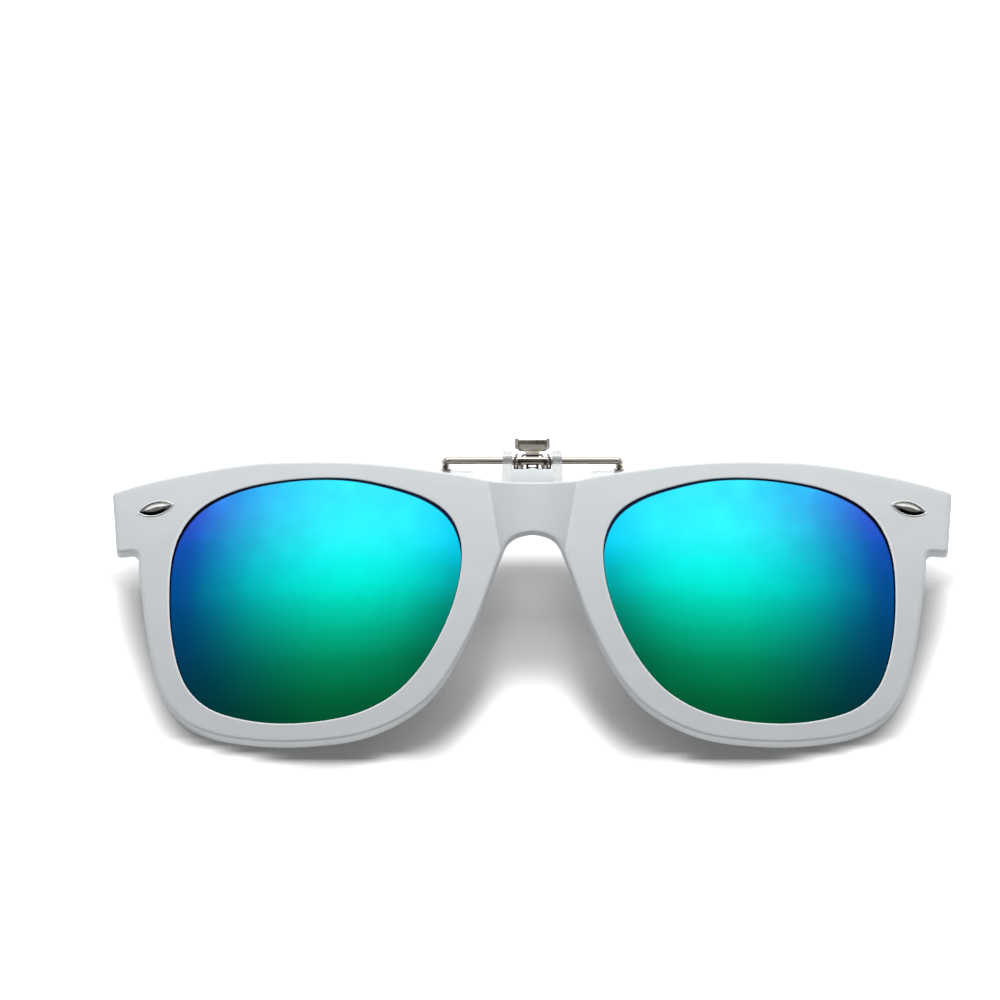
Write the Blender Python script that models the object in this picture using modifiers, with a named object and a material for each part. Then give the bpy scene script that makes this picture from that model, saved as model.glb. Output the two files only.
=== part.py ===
# Flip-up clip-on sunglasses, modelled piece by piece in Blender.
# The pieces are drawn in the wearer's frame: X to the side, Y up the face, Z out of the front.
# The whole is then laid on its back on a table, resting on its lower rims and its end pieces.
import math

import bmesh
import bpy
from mathutils import Matrix, Vector

mm = 0.001

# Clearances
seat_gap = 0.3 * mm  # between pieces that sit on each other
run_gap = 0.2 * mm  # round a wire or a pin
overrun = 1.0 * mm  # how far a cutter passes the surface that it cuts

# Lens and its opening
lens_width = 50.3 * mm
lens_height = 43.5 * mm
lens_gap = 24.4 * mm  # between the two openings
lens_thickness = 1.0 * mm
lens_curve_radius = 140.0 * mm
lens_setback = 0.95 * mm  # of the lens behind the rim's face, at the lens centre
lens_outline_shares = [
    (0.106, 1.000), (0.444, 0.963), (0.679, 0.880), (0.834, 0.760), (0.937, 0.586),
    (0.989, 0.356), (1.000, 0.071), (0.985, -0.214), (0.937, -0.490), (0.856, -0.692),
    (0.711, -0.849), (0.484, -0.950), (0.217, -1.000), (-0.081, -0.991), (-0.335, -0.927),
    (-0.554, -0.789), (-0.721, -0.587), (-0.852, -0.334), (-0.948, -0.058), (-0.997, 0.218),
    (-0.991, 0.452), (-0.916, 0.650), (-0.761, 0.793), (-0.518, 0.903), (-0.232, 0.981),
]

# Moulded front
wrap_radius = 200.0 * mm  # the front bends round the face
crown_radius = 300.0 * mm  # and a little from brow to cheek
front_thickness = 4.0 * mm
top_rim = 3.4 * mm
bottom_rim = 3.35 * mm
outer_rim = 4.6 * mm
nose_rim = 5.4 * mm
end_reach = 10.0 * mm  # of the end piece beyond the opening
end_height = 11.0 * mm
end_drop = 3.15 * mm  # of the end piece's corner below the brow
end_corner = 0.8 * mm
end_fillet = 2.6 * mm
bridge_drop = 5.1 * mm  # of the bridge's top below the brow
bridge_depth = 8.6 * mm
arch_rise = 2.9 * mm
edge_round = 0.45 * mm
lip_round = 0.3 * mm  # round the opening
groove_depth = 0.7 * mm
brow_inner_shares = [
    (0.102, 1.000), (0.137, 0.875), (0.172, 0.763), (0.221, 0.633), (0.268, 0.510),
    (0.316, 0.382), (0.364, 0.278), (0.459, 0.118), (0.552, 0.039),
]
brow_outer_shares = [
    (0.634, 0.000), (0.717, 0.079), (0.793, 0.248), (0.855, 0.413), (0.910, 0.587),
    (0.960, 0.794), (0.999, 1.000),
]
end_taper_share = 0.989  # the end piece's lower corner, of its upper corner's reach
# Heights above the lens centre are shares of the end piece's foot and of the arch's foot
rim_outline_shares = [
    (1.025, 0.713), (1.007, 0.295), (0.978, -0.161), (0.926, -0.452), (0.897, -0.596),
    (0.822, -0.745), (0.724, -0.845), (0.612, -0.908), (0.386, -0.970), (0.183, -1.000),
    (-0.021, -1.000), (-0.275, -0.972), (-0.524, -0.843), (-0.666, -0.707), (-0.745, -0.568),
    (-0.813, -0.428), (-0.869, -0.287), (-0.926, -0.145), (-0.959, -0.003), (-0.999, 0.412),
    (-1.039, 0.835),
]
arch_reach_share = 1.053
# Where the front's sections meet the opening: heights as shares of what lies above a piece's foot
end_meet_shares = (0.507, 0.437, 0.298, 0.065)
bridge_meet_shares = (0.54, 0.07)
rim_meet_shares = (1.03, 0.84)  # of the heights of the rim's first and last points
turn_evenness = 0.2

# Scooped bridge and the tongue above it
scoop_radius = 26.0 * mm
scoop_top_depth = 1.8 * mm  # below the face's foremost point
scoop_arch_depth = 0.85 * mm
tongue_rise = 2.7 * mm
tongue_top_width = 6.9 * mm
tongue_base_width = 8.3 * mm
tongue_front = 1.7 * mm  # behind the rim's face, at the base
tongue_lean = 0.9 * mm

# Almond inlay on each end piece
rivet_length = 6.7 * mm
rivet_width = 2.1 * mm
rivet_body = 0.7 * mm
rivet_crown = 0.36 * mm
rivet_inset = 7.6 * mm
rivet_drop = 3.75 * mm
rivet_turn = math.radians(11.0)

# Clear hinge bracket
wire_rise = 5.25 * mm  # hinge axis above the bridge's top
wire_depth = 5.85 * mm  # hinge axis behind the rim's face
bracket_wall = 0.6 * mm  # depth of its pocket in the back of the bridge
bracket_plate = 1.6 * mm
bracket_height = 7.4 * mm
post_width = 1.65 * mm
post_round = 1.75 * mm
post_gap = 6.8 * mm  # between the posts
post_heel = 2.5 * mm
screw_spread = 4.4 * mm
screw_drop = 3.7 * mm  # below the bridge's top
screw_radius = 0.45 * mm
screw_reach = 1.3 * mm  # into the bridge
screw_head_radius = 0.95 * mm
screw_head_height = 0.5 * mm

# Hinge wire and the front jaw
wire_radius = 0.675 * mm
wire_span = 31.05 * mm  # over the outsides of its two bends
wire_bend_share = 0.48  # of each end bend, of the step back to the jaw
front_pad_width = 6.1 * mm
front_pad_height = 9.6 * mm
front_pad_depth = 2.6 * mm
front_pad_drop = 1.7 * mm  # of its top below the hinge axis
jaw_back = 2.35 * mm  # of the front jaw's legs behind the hinge axis
leg_inset = 1.3 * mm  # of a leg inside its pad's outer side
pad_round = 0.5 * mm
pad_floor = 1.2 * mm

# Stamped clip base
sheet = 0.3 * mm
base_width = 5.5 * mm
ear_spread = 6.5 * mm
ear_radius = 0.95 * mm
base_reach = 2.75 * mm  # of its floor behind the hinge axis
stop_width = 1.6 * mm
pin_rise = 0.35 * mm  # lever axis above the hinge axis
pin_back = 2.55 * mm  # lever axis behind the hinge axis
pin_radius = 0.45 * mm
pin_head_radius = 0.62 * mm
pin_head_width = 0.25 * mm

# Lever and rear jaw
arm_width = 2.2 * mm
neck_width = 2.9 * mm
neck_top_rise = 2.55 * mm  # above the lever axis
neck_lean = 1.2 * mm
tab_width = 5.6 * mm
tab_flange = 0.6 * mm
tab_fold = 0.4 * mm  # how far the flanges stand out
tab_length = 4.6 * mm
tab_lean = math.radians(50.0)
tab_horn = 0.15 * mm
arm_drop = 4.75 * mm  # rear wire below the lever axis
arm_back = 1.6 * mm  # rear wire behind the lever axis
rear_radius = 0.5 * mm
rear_bend = 0.8 * mm
rear_pad_width = 3.5 * mm
rear_pad_height = 6.1 * mm
rear_pad_depth = 2.2 * mm
rear_pad_spread = 16.8 * mm
rear_pad_drop = 2.1 * mm  # of its top below the rear wire
jaw_gap = 0.4 * mm

# Double torsion spring
spring_radius = 0.2 * mm
spring_pitch = 1.15 * mm
spring_tip = 1.15 * mm  # its ends in front of the hinge axis

# Where things come to lie
half_lens = Vector((lens_width / 2, lens_height / 2))
lens_centre_x = lens_gap / 2 + lens_width / 2
half_front = lens_gap / 2 + lens_width + end_reach
brow_top = half_lens.y + top_rim
bridge_top = brow_top - bridge_drop
arch_top = bridge_top - bridge_depth
wire_y = bridge_top + wire_rise
wire_z = -wire_depth
pin_y = wire_y + pin_rise
pin_z = wire_z - pin_back
rear_y = pin_y - arm_drop
rear_z = pin_z - arm_back
jaw_z = wire_z - jaw_back
leg_x = wire_span / 2 - wire_radius
grip_z = jaw_z - front_pad_depth / 2
rear_leg_z = grip_z - jaw_gap - rear_pad_depth / 2
pocket_z = -(front_thickness - bracket_wall)


def wrap_sag(x):
    return wrap_radius - math.sqrt(wrap_radius ** 2 - x ** 2)


def crown_sag(y):
    return crown_radius - math.sqrt(crown_radius ** 2 - y ** 2)


def face_z(x, y):
    return -wrap_sag(x) - crown_sag(y)


def lens_z(x, y, depth=0.0):
    """Height of the lens, or of a surface that lies deeper in it, on the side where x is positive."""
    tilt = math.asin(lens_centre_x / wrap_radius)
    centre_x = lens_centre_x - lens_curve_radius * math.sin(tilt)
    centre_z = -wrap_sag(lens_centre_x) - lens_setback - lens_curve_radius * math.cos(tilt)
    radius = lens_curve_radius - depth
    return centre_z + math.sqrt(radius ** 2 - (x - centre_x) ** 2) - crown_sag(y)


# Curves through points

def smooth_through(points, steps, closed=False):
    """A curve through all the points, with a share of the steps in each stretch by its length."""
    count = len(points)
    stretches = count if closed else count - 1
    fine = []
    for i in range(stretches):
        if closed:
            a, b, c, d = (points[(i + k) % count] for k in (-1, 0, 1, 2))
        else:
            a, b, c, d = (points[min(max(i + k, 0), count - 1)] for k in (-1, 0, 1, 2))
        for j in range(12):
            t = j / 12
            fine.append(0.5 * (2 * b + (c - a) * t + (2 * a - 5 * b + 4 * c - d) * t ** 2
                               + (3 * b - a - 3 * c + d) * t ** 3))
    fine.append(points[0] if closed else points[-1])
    return even_steps(fine, steps)


def even_steps(line, steps):
    """Points at equal distances along a line of points, with both ends."""
    lengths = [0.0]
    for a, b in zip(line, line[1:]):
        lengths.append(lengths[-1] + (b - a).length)
    result = []
    at = 0
    for i in range(steps + 1):
        want = lengths[-1] * i / steps
        while at < len(line) - 2 and lengths[at + 1] < want:
            at += 1
        span = lengths[at + 1] - lengths[at]
        share = (want - lengths[at]) / span if span else 0.0
        result.append(line[at].lerp(line[at + 1], min(share, 1.0)))
    return result


def bend_corners(points, radii, steps):
    """A bent wire's centre line: straight runs with an arc of the given radius at each corner."""
    line = [points[0]]
    for before, corner, after, radius in zip(points, points[1:], points[2:], radii):
        back = (before - corner).normalized()
        ahead = (after - corner).normalized()
        opening = back.angle(ahead)
        reach = radius / math.tan(opening / 2)
        centre = corner + (back + ahead).normalized() * radius / math.sin(opening / 2)
        start = corner + back * reach - centre
        end = corner + ahead * reach - centre
        sweep = start.angle(end)
        for i in range(steps + 1):
            t = i / steps
            line.append(centre + (start * math.sin((1 - t) * sweep) + end * math.sin(t * sweep))
                        / math.sin(sweep))
    line.append(points[-1])
    return line


# Scene helpers

def clear_scene():
    for item in list(bpy.data.objects):
        bpy.data.objects.remove(item, do_unlink=True)


def collection(name):
    made = bpy.data.collections.new(name)
    bpy.context.scene.collection.children.link(made)
    return made


def finish(name, colour, roughness, metallic=0.0, clear=0.0):
    material = bpy.data.materials.new(name)
    material.use_nodes = True
    shader = material.node_tree.nodes["Principled BSDF"]
    shader.inputs["Base Color"].default_value = (*colour, 1.0)
    shader.inputs["Roughness"].default_value = roughness
    shader.inputs["Metallic"].default_value = metallic
    shader.inputs["Transmission Weight"].default_value = clear
    material.diffuse_color = (*colour, 1.0)
    return material


def axis_empty(name, y, z, carrier=None):
    """An empty on a joint's axis, in the wearer's frame."""
    empty = bpy.data.objects.new(name, None)
    empty.empty_display_size = wire_span / 2
    empty.location = (0.0, y, z)
    parts.objects.link(empty)
    if carrier:
        empty.parent = carrier
    return empty


def add_piece(name, mesh, material, carrier, home=None):
    """Links a mesh drawn in the wearer's frame as a piece that its carrier holds."""
    mesh.name = name
    piece = bpy.data.objects.new(name, mesh)
    (home or parts).objects.link(piece)
    piece.parent = carrier
    if carrier is not resting:
        piece.location = -carrier.location
    if material:
        mesh.materials.clear()
        mesh.materials.append(material)
    mesh.shade_smooth()
    mesh.set_sharp_from_angle(angle=math.radians(35.0))
    return piece


def add_cutter(name, mesh, carrier):
    cutter = add_piece(name, mesh, None, carrier, cutters)
    cutter.hide_render = True
    cutter.display_type = "WIRE"
    return cutter


def boolean(piece, other, operation="DIFFERENCE"):
    modifier = piece.modifiers.new(other.name, "BOOLEAN")
    modifier.operation = operation
    modifier.object = other


def mesh_of(shape, name, outward=True):
    if outward:
        bmesh.ops.recalc_face_normals(shape, faces=shape.faces)
    mesh = bpy.data.meshes.new(name)
    shape.to_mesh(mesh)
    shape.free()
    return mesh


def block(name, low, high):
    shape = bmesh.new()
    bmesh.ops.create_cube(shape, size=1.0)
    size = Vector(high) - Vector(low)
    middle = (Vector(high) + Vector(low)) / 2
    bmesh.ops.scale(shape, vec=size, verts=shape.verts)
    bmesh.ops.translate(shape, vec=middle, verts=shape.verts)
    return mesh_of(shape, name)


def rod(name, radius, start, end, sides=20):
    """A round bar from start to end."""
    shape = bmesh.new()
    along = Vector(end) - Vector(start)
    turn = along.to_track_quat("Z", "Y").to_matrix().to_4x4()
    place = Matrix.Translation((Vector(start) + Vector(end)) / 2) @ turn
    bmesh.ops.create_cone(shape, cap_ends=True, segments=sides, radius1=radius,
                          radius2=radius, depth=along.length, matrix=place)
    return mesh_of(shape, name)


def joined(name, meshes):
    """Several separate solids in one mesh, for a cutter that cuts more than one hole."""
    shape = bmesh.new()
    for mesh in meshes:
        shape.from_mesh(mesh)
        bpy.data.meshes.remove(mesh)
    return mesh_of(shape, name, outward=False)


def curve_mesh(name, curve, place=None):
    """The closed mesh of a curve, with its caps welded on."""
    holder = bpy.data.objects.new(name, curve)
    parts.objects.link(holder)
    graph = bpy.context.evaluated_depsgraph_get()
    mesh = bpy.data.meshes.new_from_object(holder.evaluated_get(graph))
    bpy.data.objects.remove(holder, do_unlink=True)
    if place:
        mesh.transform(place)
    shape = bmesh.new()
    shape.from_mesh(mesh)
    bmesh.ops.remove_doubles(shape, verts=shape.verts, dist=0.001 * mm)
    bpy.data.meshes.remove(mesh)
    return mesh_of(shape, name)


def wire_mesh(name, line, radius, resolution=2):
    curve = bpy.data.curves.new(name, "CURVE")
    curve.dimensions = "3D"
    curve.bevel_depth = radius
    curve.bevel_resolution = resolution
    curve.use_fill_caps = True
    spline = curve.splines.new("POLY")
    spline.points.add(len(line) - 1)
    for point, place in zip(spline.points, line):
        point.co = (*place, 1.0)
    return curve_mesh(name, curve)


def side_plate(name, outline, x_low, x_high):
    """A flat outline of (y, z) points, as thick as the space between two x values."""
    curve = bpy.data.curves.new(name, "CURVE")
    curve.dimensions = "2D"
    curve.fill_mode = "BOTH"
    curve.extrude = (x_high - x_low) / 2
    spline = curve.splines.new("POLY")
    spline.points.add(len(outline) - 1)
    for point, place in zip(spline.points, outline):
        point.co = (place[0], place[1], 0.0, 1.0)
    spline.use_cyclic_u = True
    stand = Matrix(((0, 0, 1, (x_low + x_high) / 2), (1, 0, 0, 0), (0, 1, 0, 0), (0, 0, 0, 1)))
    return curve_mesh(name, curve, stand)


def arc_points(centre, radius, first, last, steps):
    """Points (y, z) on an arc; the angles run from +y towards +z."""
    points = []
    for i in range(steps + 1):
        angle = first + (last - first) * i / steps
        points.append(Vector((centre[0] + radius * math.cos(angle),
                              centre[1] + radius * math.sin(angle))))
    return points


def ribbon(line, thickness):
    """The outline of a strip that follows a line of (y, z) points."""
    left, right = [], []
    for i, point in enumerate(line):
        ahead = line[min(i + 1, len(line) - 1)] - line[max(i - 1, 0)]
        across = Vector((-ahead.y, ahead.x)).normalized() * thickness / 2
        left.append(point + across)
        right.append(point - across)
    return left + right[::-1]


# The moulded front

def corner_arc(before, corner, after, radius, steps):
    """A rounded corner of the outline, as the points of its arc."""
    flat = [Vector((*p, 0.0)) for p in (before, corner, after)]
    return [Vector(p[:2]) for p in bend_corners(flat, [radius], steps)[1:-1]]


def add_stretch(line, turns, points, turn):
    """Adds a stretch of the outline, and for each point a turn round the lens up to the given one.

    The turn tells where the point's section meets the lens opening."""
    centre = Vector((lens_centre_x, 0.0))
    weights = []
    total = 0.0
    for a, b in zip([line[-1]] + points, points):
        total += (a - centre).angle(b - centre) + turn_evenness * (b - a).length / lens_width
        weights.append(total)
    start = turns[-1]
    line += points
    turns += [start + (turn - start) * w / total for w in weights]


def front_outline():
    """The right half's outline, clockwise from the middle of the bridge's top.

    It returns the points, their turns, and the place of the point where the arch ends."""
    brow = []
    for x_share, drop_share in brow_inner_shares:
        brow.append(Vector((half_front * x_share, brow_top - bridge_drop * drop_share)))
    for x_share, drop_share in brow_outer_shares:
        brow.append(Vector((half_front * x_share, brow_top - end_drop * drop_share)))
    upper = Vector((half_front, brow_top - end_drop))
    lower = Vector((half_front * end_taper_share, upper.y - end_height))
    arch_x = lens_centre_x - arch_reach_share * (half_lens.x + nose_rim)
    arch_y = arch_top - arch_rise
    rims = []
    for x_share, y_share in rim_outline_shares:
        x_reach = half_lens.x + (outer_rim if x_share > 0 else nose_rim)
        y_reach = half_lens.y + bottom_rim
        if y_share > 0:
            y_reach = lower.y if x_share > 0 else arch_y
        rims.append(Vector((lens_centre_x + x_share * x_reach, y_share * y_reach)))
    rims.append(Vector((arch_x, arch_y)))
    inner = Vector((rims[0].x, lower.y))
    arch = []
    for i in range(1, 4):
        angle = math.pi / 2 * i / 4
        arch.append(Vector((arch_x * math.cos(angle), arch_y + arch_rise * math.sin(angle))))
    arch.append(Vector((-overrun, arch_top)))
    ends = [turn_at(lower.y + share * (half_lens.y - lower.y), 1.0) for share in end_meet_shares]
    ends.append(turn_at(rims[0].y * rim_meet_shares[0], 1.0))
    ends.append(turn_at(arch_y * rim_meet_shares[1], -1.0) - math.tau)
    above, over = [turn_at(arch_top + share * (half_lens.y - arch_top), -1.0)
                   for share in bridge_meet_shares]
    ends.append(over - math.tau)
    stretches = [
        [Vector((brow[0].x / 2, bridge_top))] + smooth_through(brow[:-1], 17),
        corner_arc(brow[-2], upper, lower, end_corner, 2),
        [upper.lerp(lower, 0.5)],
        corner_arc(upper, lower, inner, end_corner, 2),
        corner_arc(lower, inner, rims[0], end_fillet / 2, 3),
        smooth_through(rims, 30),
        arch,
    ]
    line = [Vector((-overrun, bridge_top))]
    turns = [above]
    for points, turn in zip(stretches, ends):
        add_stretch(line, turns, points, turn)
    last = len(line) - 1
    rise = [Vector((-overrun, arch_top + bridge_depth * i / 4)) for i in range(1, 5)]
    add_stretch(line, turns, rise, above - math.tau)
    return line[:-1], turns[:-1], last


def left_normals(line, stops=()):
    """The outward direction at each point of a clockwise outline."""
    result = []
    count = len(line)
    for i in range(count):
        before = line[i] if i in stops and i == 0 else line[i - 1]
        after = line[i] if i in stops and i != 0 else line[(i + 1) % count]
        ahead = (after - before).normalized()
        result.append(Vector((-ahead.y, ahead.x)))
    return result


def lens_outline(steps):
    points = [Vector((half_lens.x * x, half_lens.y * y)) for x, y in lens_outline_shares]
    return smooth_through(points, steps, closed=True)[:-1]


def turn_at(height, side):
    """The turn round the lens at which its opening has a height, on its outer or its nose side."""
    points = [p for p in lens_outline(720) if p.x * side > 0]
    nearest = min(points, key=lambda p: abs(p.y - height))
    return math.atan2(nearest.y, nearest.x)


def opening_points(turns):
    """The points of the lens opening at these turns round its centre, and its outward directions."""
    fine = lens_outline(720)
    ways = left_normals(fine)
    angles = [math.atan2(p.y, p.x) for p in fine]
    for i in range(1, len(angles)):
        while angles[i] > angles[i - 1]:
            angles[i] -= math.tau
    points, normals = [], []
    for turn in turns:
        while turn > angles[0]:
            turn -= math.tau
        while turn < angles[0] - math.tau:
            turn += math.tau
        at = max(i for i, angle in enumerate(angles) if angle >= turn)
        after = (at + 1) % len(fine)
        span = angles[at] - (angles[after] if after else angles[0] - math.tau)
        share = (angles[at] - turn) / span
        points.append(Vector((lens_centre_x, 0.0)) + fine[at].lerp(fine[after], share))
        normals.append(ways[at].lerp(ways[after], share).normalized())
    return points, normals


def front_half_mesh():
    """The right half of the front, lofted round the lens from closed sections."""
    outer, turns, last = front_outline()
    out_ways = left_normals(outer, stops=(0, last))
    inner, in_ways = opening_points(turns)
    part = 1 - math.sqrt(0.5)
    cut, lip_cut = edge_round * part, lip_round * part
    back = front_thickness
    shape = bmesh.new()
    rings = []
    for p, n, q, m in zip(inner, in_ways, outer, out_ways):
        deep = p + n * groove_depth
        near, far = p + n * lip_round, q - m * edge_round
        lens_front = [face_z(*v) - lens_z(*v) - seat_gap for v in (p, deep)]
        lens_back = [face_z(*v) - lens_z(*v, lens_thickness) + seat_gap for v in (p, deep)]
        section = [
            (p, lip_round), (p + n * lip_cut, lip_cut), (near, 0.0), (near.lerp(far, 0.5), 0.0),
            (far, 0.0), (q - m * cut, cut), (q, edge_round), (q, back - edge_round),
            (far, back), (near.lerp(far, 0.5), back), (near, back), (p, back - lip_round),
            (p, lens_back[0]), (deep, lens_back[1]), (deep, lens_front[1]), (p, lens_front[0]),
        ]
        rings.append([shape.verts.new((v.x, v.y, face_z(*v) - depth)) for v, depth in section])
    for ring, after in zip(rings, rings[1:] + rings[:1]):
        for i in range(len(ring)):
            shape.faces.new((ring[i - 1], ring[i], after[i], after[i - 1]))
    return mesh_of(shape, "front_frame")


def almond(length, width, steps=7):
    """A pointed oval from two arcs, as points round it."""
    a, b = length / 2, width / 2
    radius = (a * a + b * b) / (2 * b)
    sweep = math.asin(a / radius)
    upper = []
    for i in range(steps * 2):
        angle = sweep * (1 - i / steps)
        upper.append(Vector((radius * math.sin(angle), radius * math.cos(angle) - (radius - b))))
    return upper + [-p for p in upper]


def rivet_place(side):
    """Where an inlay sits: on the end piece, square to its surface, its outer tip lower."""
    x, y = half_front - rivet_inset, brow_top - end_drop - rivet_drop
    slope_x = x / math.sqrt(wrap_radius ** 2 - x ** 2)
    slope_y = y / math.sqrt(crown_radius ** 2 - y ** 2)
    out = Vector((slope_x, slope_y, 1.0)).normalized()
    along = Vector((math.cos(rivet_turn), -math.sin(rivet_turn), 0.0))
    along = (along - out * along.dot(out)).normalized()
    across = out.cross(along)
    place = Matrix((along, across, out)).transposed().to_4x4()
    place.translation = Vector((x, y, face_z(x, y)))
    mirror = Matrix.Diagonal((side, 1.0, 1.0, 1.0))
    return mirror @ place


def almond_stack(name, layers, place):
    """A closed solid from scaled almonds; each layer is (share of the size, height)."""
    outline = almond(rivet_length, rivet_width)
    shape = bmesh.new()
    rings = []
    for share, height in layers:
        rings.append([shape.verts.new(place @ Vector((p.x * share, p.y * share, height)))
                      for p in outline])
    for ring, after in zip(rings, rings[1:]):
        for i in range(len(ring)):
            shape.faces.new((ring[i - 1], ring[i], after[i], after[i - 1]))
    shape.faces.new(rings[0])
    shape.faces.new(rings[-1])
    return mesh_of(shape, name)


def build_front():
    front = add_piece("front_frame", front_half_mesh(), frame_white, flip_axis)
    grown = 1.0 + 2 * seat_gap / rivet_width
    pocket = almond_stack("rivet_pocket", [(grown, overrun), (grown, -rivet_body - seat_gap)],
                          rivet_place(1.0))
    boolean(front, add_cutter("rivet_pocket", pocket, flip_axis))
    mirror = front.modifiers.new("Mirror", "MIRROR")
    mirror.use_axis = (True, False, False)
    mirror.use_bisect_axis = (True, False, False)
    mirror.merge_threshold = 0.00001
    mirror.bisect_threshold = 0.00001
    fall = (scoop_top_depth - scoop_arch_depth) / bridge_depth
    scoop = rod("bridge_scoop", scoop_radius,
                (0.0, arch_top - arch_rise, scoop_radius - scoop_arch_depth + fall * arch_rise),
                (0.0, bridge_top + arch_rise, scoop_radius - scoop_top_depth - fall * arch_rise),
                sides=120)
    boolean(front, add_cutter("bridge_scoop", scoop, flip_axis))
    side = post_gap / 2 + post_width + seat_gap
    pocket = block("bracket_pocket",
                   (-side, bridge_top - bracket_height - seat_gap, -front_thickness * 2),
                   (side, bridge_top + overrun, pocket_z))
    boolean(front, add_cutter("bracket_pocket", pocket, flip_axis))
    holes = []
    for x in (-screw_spread / 2, screw_spread / 2):
        y = bridge_top - screw_drop
        holes.append(rod("hole", screw_radius + run_gap,
                         (x, y, pocket_z + screw_reach + seat_gap),
                         (x, y, pocket_z - overrun), sides=16))
    boolean(front, add_cutter("screw_holes", joined("screw_holes", holes), flip_axis))
    boolean(front, add_cutter("bridge_tongue", tongue_mesh(), flip_axis), "UNION")
    return front


def tongue_mesh():
    """The small tongue that stands up from the bridge between the hinge posts."""
    shape = bmesh.new()
    bmesh.ops.create_cube(shape, size=1.0)
    base_y = bridge_top - edge_round * 2
    for v in shape.verts:
        top = v.co.y > 0
        width = tongue_top_width if top else tongue_base_width
        front = -tongue_front - (tongue_lean if top else 0.0)
        v.co.x = width / 2 if v.co.x > 0 else -width / 2
        v.co.z = front if v.co.z > 0 else pocket_z + seat_gap / 2
        v.co.y = bridge_top + tongue_rise if top else base_y
    edges = [e for e in shape.edges if all(v.co.y > bridge_top for v in e.verts)]
    bmesh.ops.bevel(shape, geom=edges, offset=edge_round, segments=2, affect="EDGES",
                    profile=0.5)
    return mesh_of(shape, "bridge_tongue")


def build_lens(side, name):
    """A curved lens that reaches into the rim's groove all round."""
    steps = 56
    outline = lens_outline(steps)
    ways = left_normals(outline)
    edge = [p + n * (groove_depth - seat_gap) for p, n in zip(outline, ways)]
    shape = bmesh.new()
    rings = []
    for share in (1.0, 0.8, 0.55, 0.3):
        ring = []
        for p in edge:
            x, y = lens_centre_x + p.x * share, p.y * share
            ring.append(shape.verts.new((side * x, y, lens_z(x, y))))
        rings.append(ring)
    for ring, after in zip(rings, rings[1:]):
        for i in range(steps):
            shape.faces.new((ring[i - 1], ring[i], after[i], after[i - 1]))
    middle = shape.verts.new((side * lens_centre_x, 0.0, lens_z(lens_centre_x, 0.0)))
    for i in range(steps):
        shape.faces.new((rings[-1][i - 1], rings[-1][i], middle))
    bmesh.ops.recalc_face_normals(shape, faces=shape.faces)
    if shape.faces[0].normal.z < 0:
        bmesh.ops.reverse_faces(shape, faces=shape.faces)
    lens = add_piece(name, mesh_of(shape, name, outward=False), lens_mirror, flip_axis)
    wall = lens.modifiers.new("Solidify", "SOLIDIFY")
    wall.thickness = lens_thickness
    wall.offset = -1.0


def build_rivet(side, name):
    layers = [
        (0.82, -rivet_body), (0.94, -rivet_body * 0.7), (0.96, 0.0), (1.0, rivet_crown * 0.25),
        (0.93, rivet_crown * 0.5), (0.84, rivet_crown * 0.45), (0.78, rivet_crown * 0.15),
        (0.55, rivet_crown * 0.75), (0.28, rivet_crown),
    ]
    add_piece(name, almond_stack(name, layers, rivet_place(side)), polished_steel, flip_axis)


# The clear bracket and its screws

def build_bracket():
    front_z = pocket_z - seat_gap
    back_z = front_z - bracket_plate
    low_y = bridge_top - bracket_height
    side = post_gap / 2 + post_width
    plate = block("hinge_bracket", (-side, low_y, back_z), (side, bridge_top - seat_gap, front_z))
    bracket = add_piece("hinge_bracket", plate, clear_plastic, flip_axis)
    edges = bracket.modifiers.new("Bevel", "BEVEL")
    edges.width = seat_gap
    edges.segments = 1
    post_front = wire_z + post_round
    outline = [Vector((low_y + seat_gap, front_z - seat_gap)),
               Vector((bridge_top, front_z - seat_gap)),
               Vector((bridge_top + seat_gap * 2, post_front))]
    outline += arc_points((wire_y, wire_z), post_round, math.pi / 2, -math.pi / 2, 8)
    outline += [Vector((bridge_top - seat_gap * 2, wire_z - post_round)),
                Vector((bridge_top - post_heel, back_z + seat_gap)),
                Vector((low_y + seat_gap, back_z + seat_gap))]
    for sign in (-1, 1):
        inner, outer = sign * post_gap / 2, sign * side
        post = side_plate("post", outline, min(inner, outer), max(inner, outer))
        boolean(bracket, add_cutter(f"post_{'left' if sign < 0 else 'right'}", post, flip_axis),
                "UNION")
    bore = rod("hinge_bore", wire_radius + run_gap, (-side - overrun, wire_y, wire_z),
               (side + overrun, wire_y, wire_z), sides=20)
    boolean(bracket, add_cutter("hinge_bore", bore, flip_axis))
    holes = []
    for x in (-screw_spread / 2, screw_spread / 2):
        y = bridge_top - screw_drop
        holes.append(rod("hole", screw_radius + run_gap, (x, y, front_z + overrun),
                         (x, y, back_z - overrun), sides=16))
    boolean(bracket, add_cutter("plate_holes", joined("plate_holes", holes), flip_axis))


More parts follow.
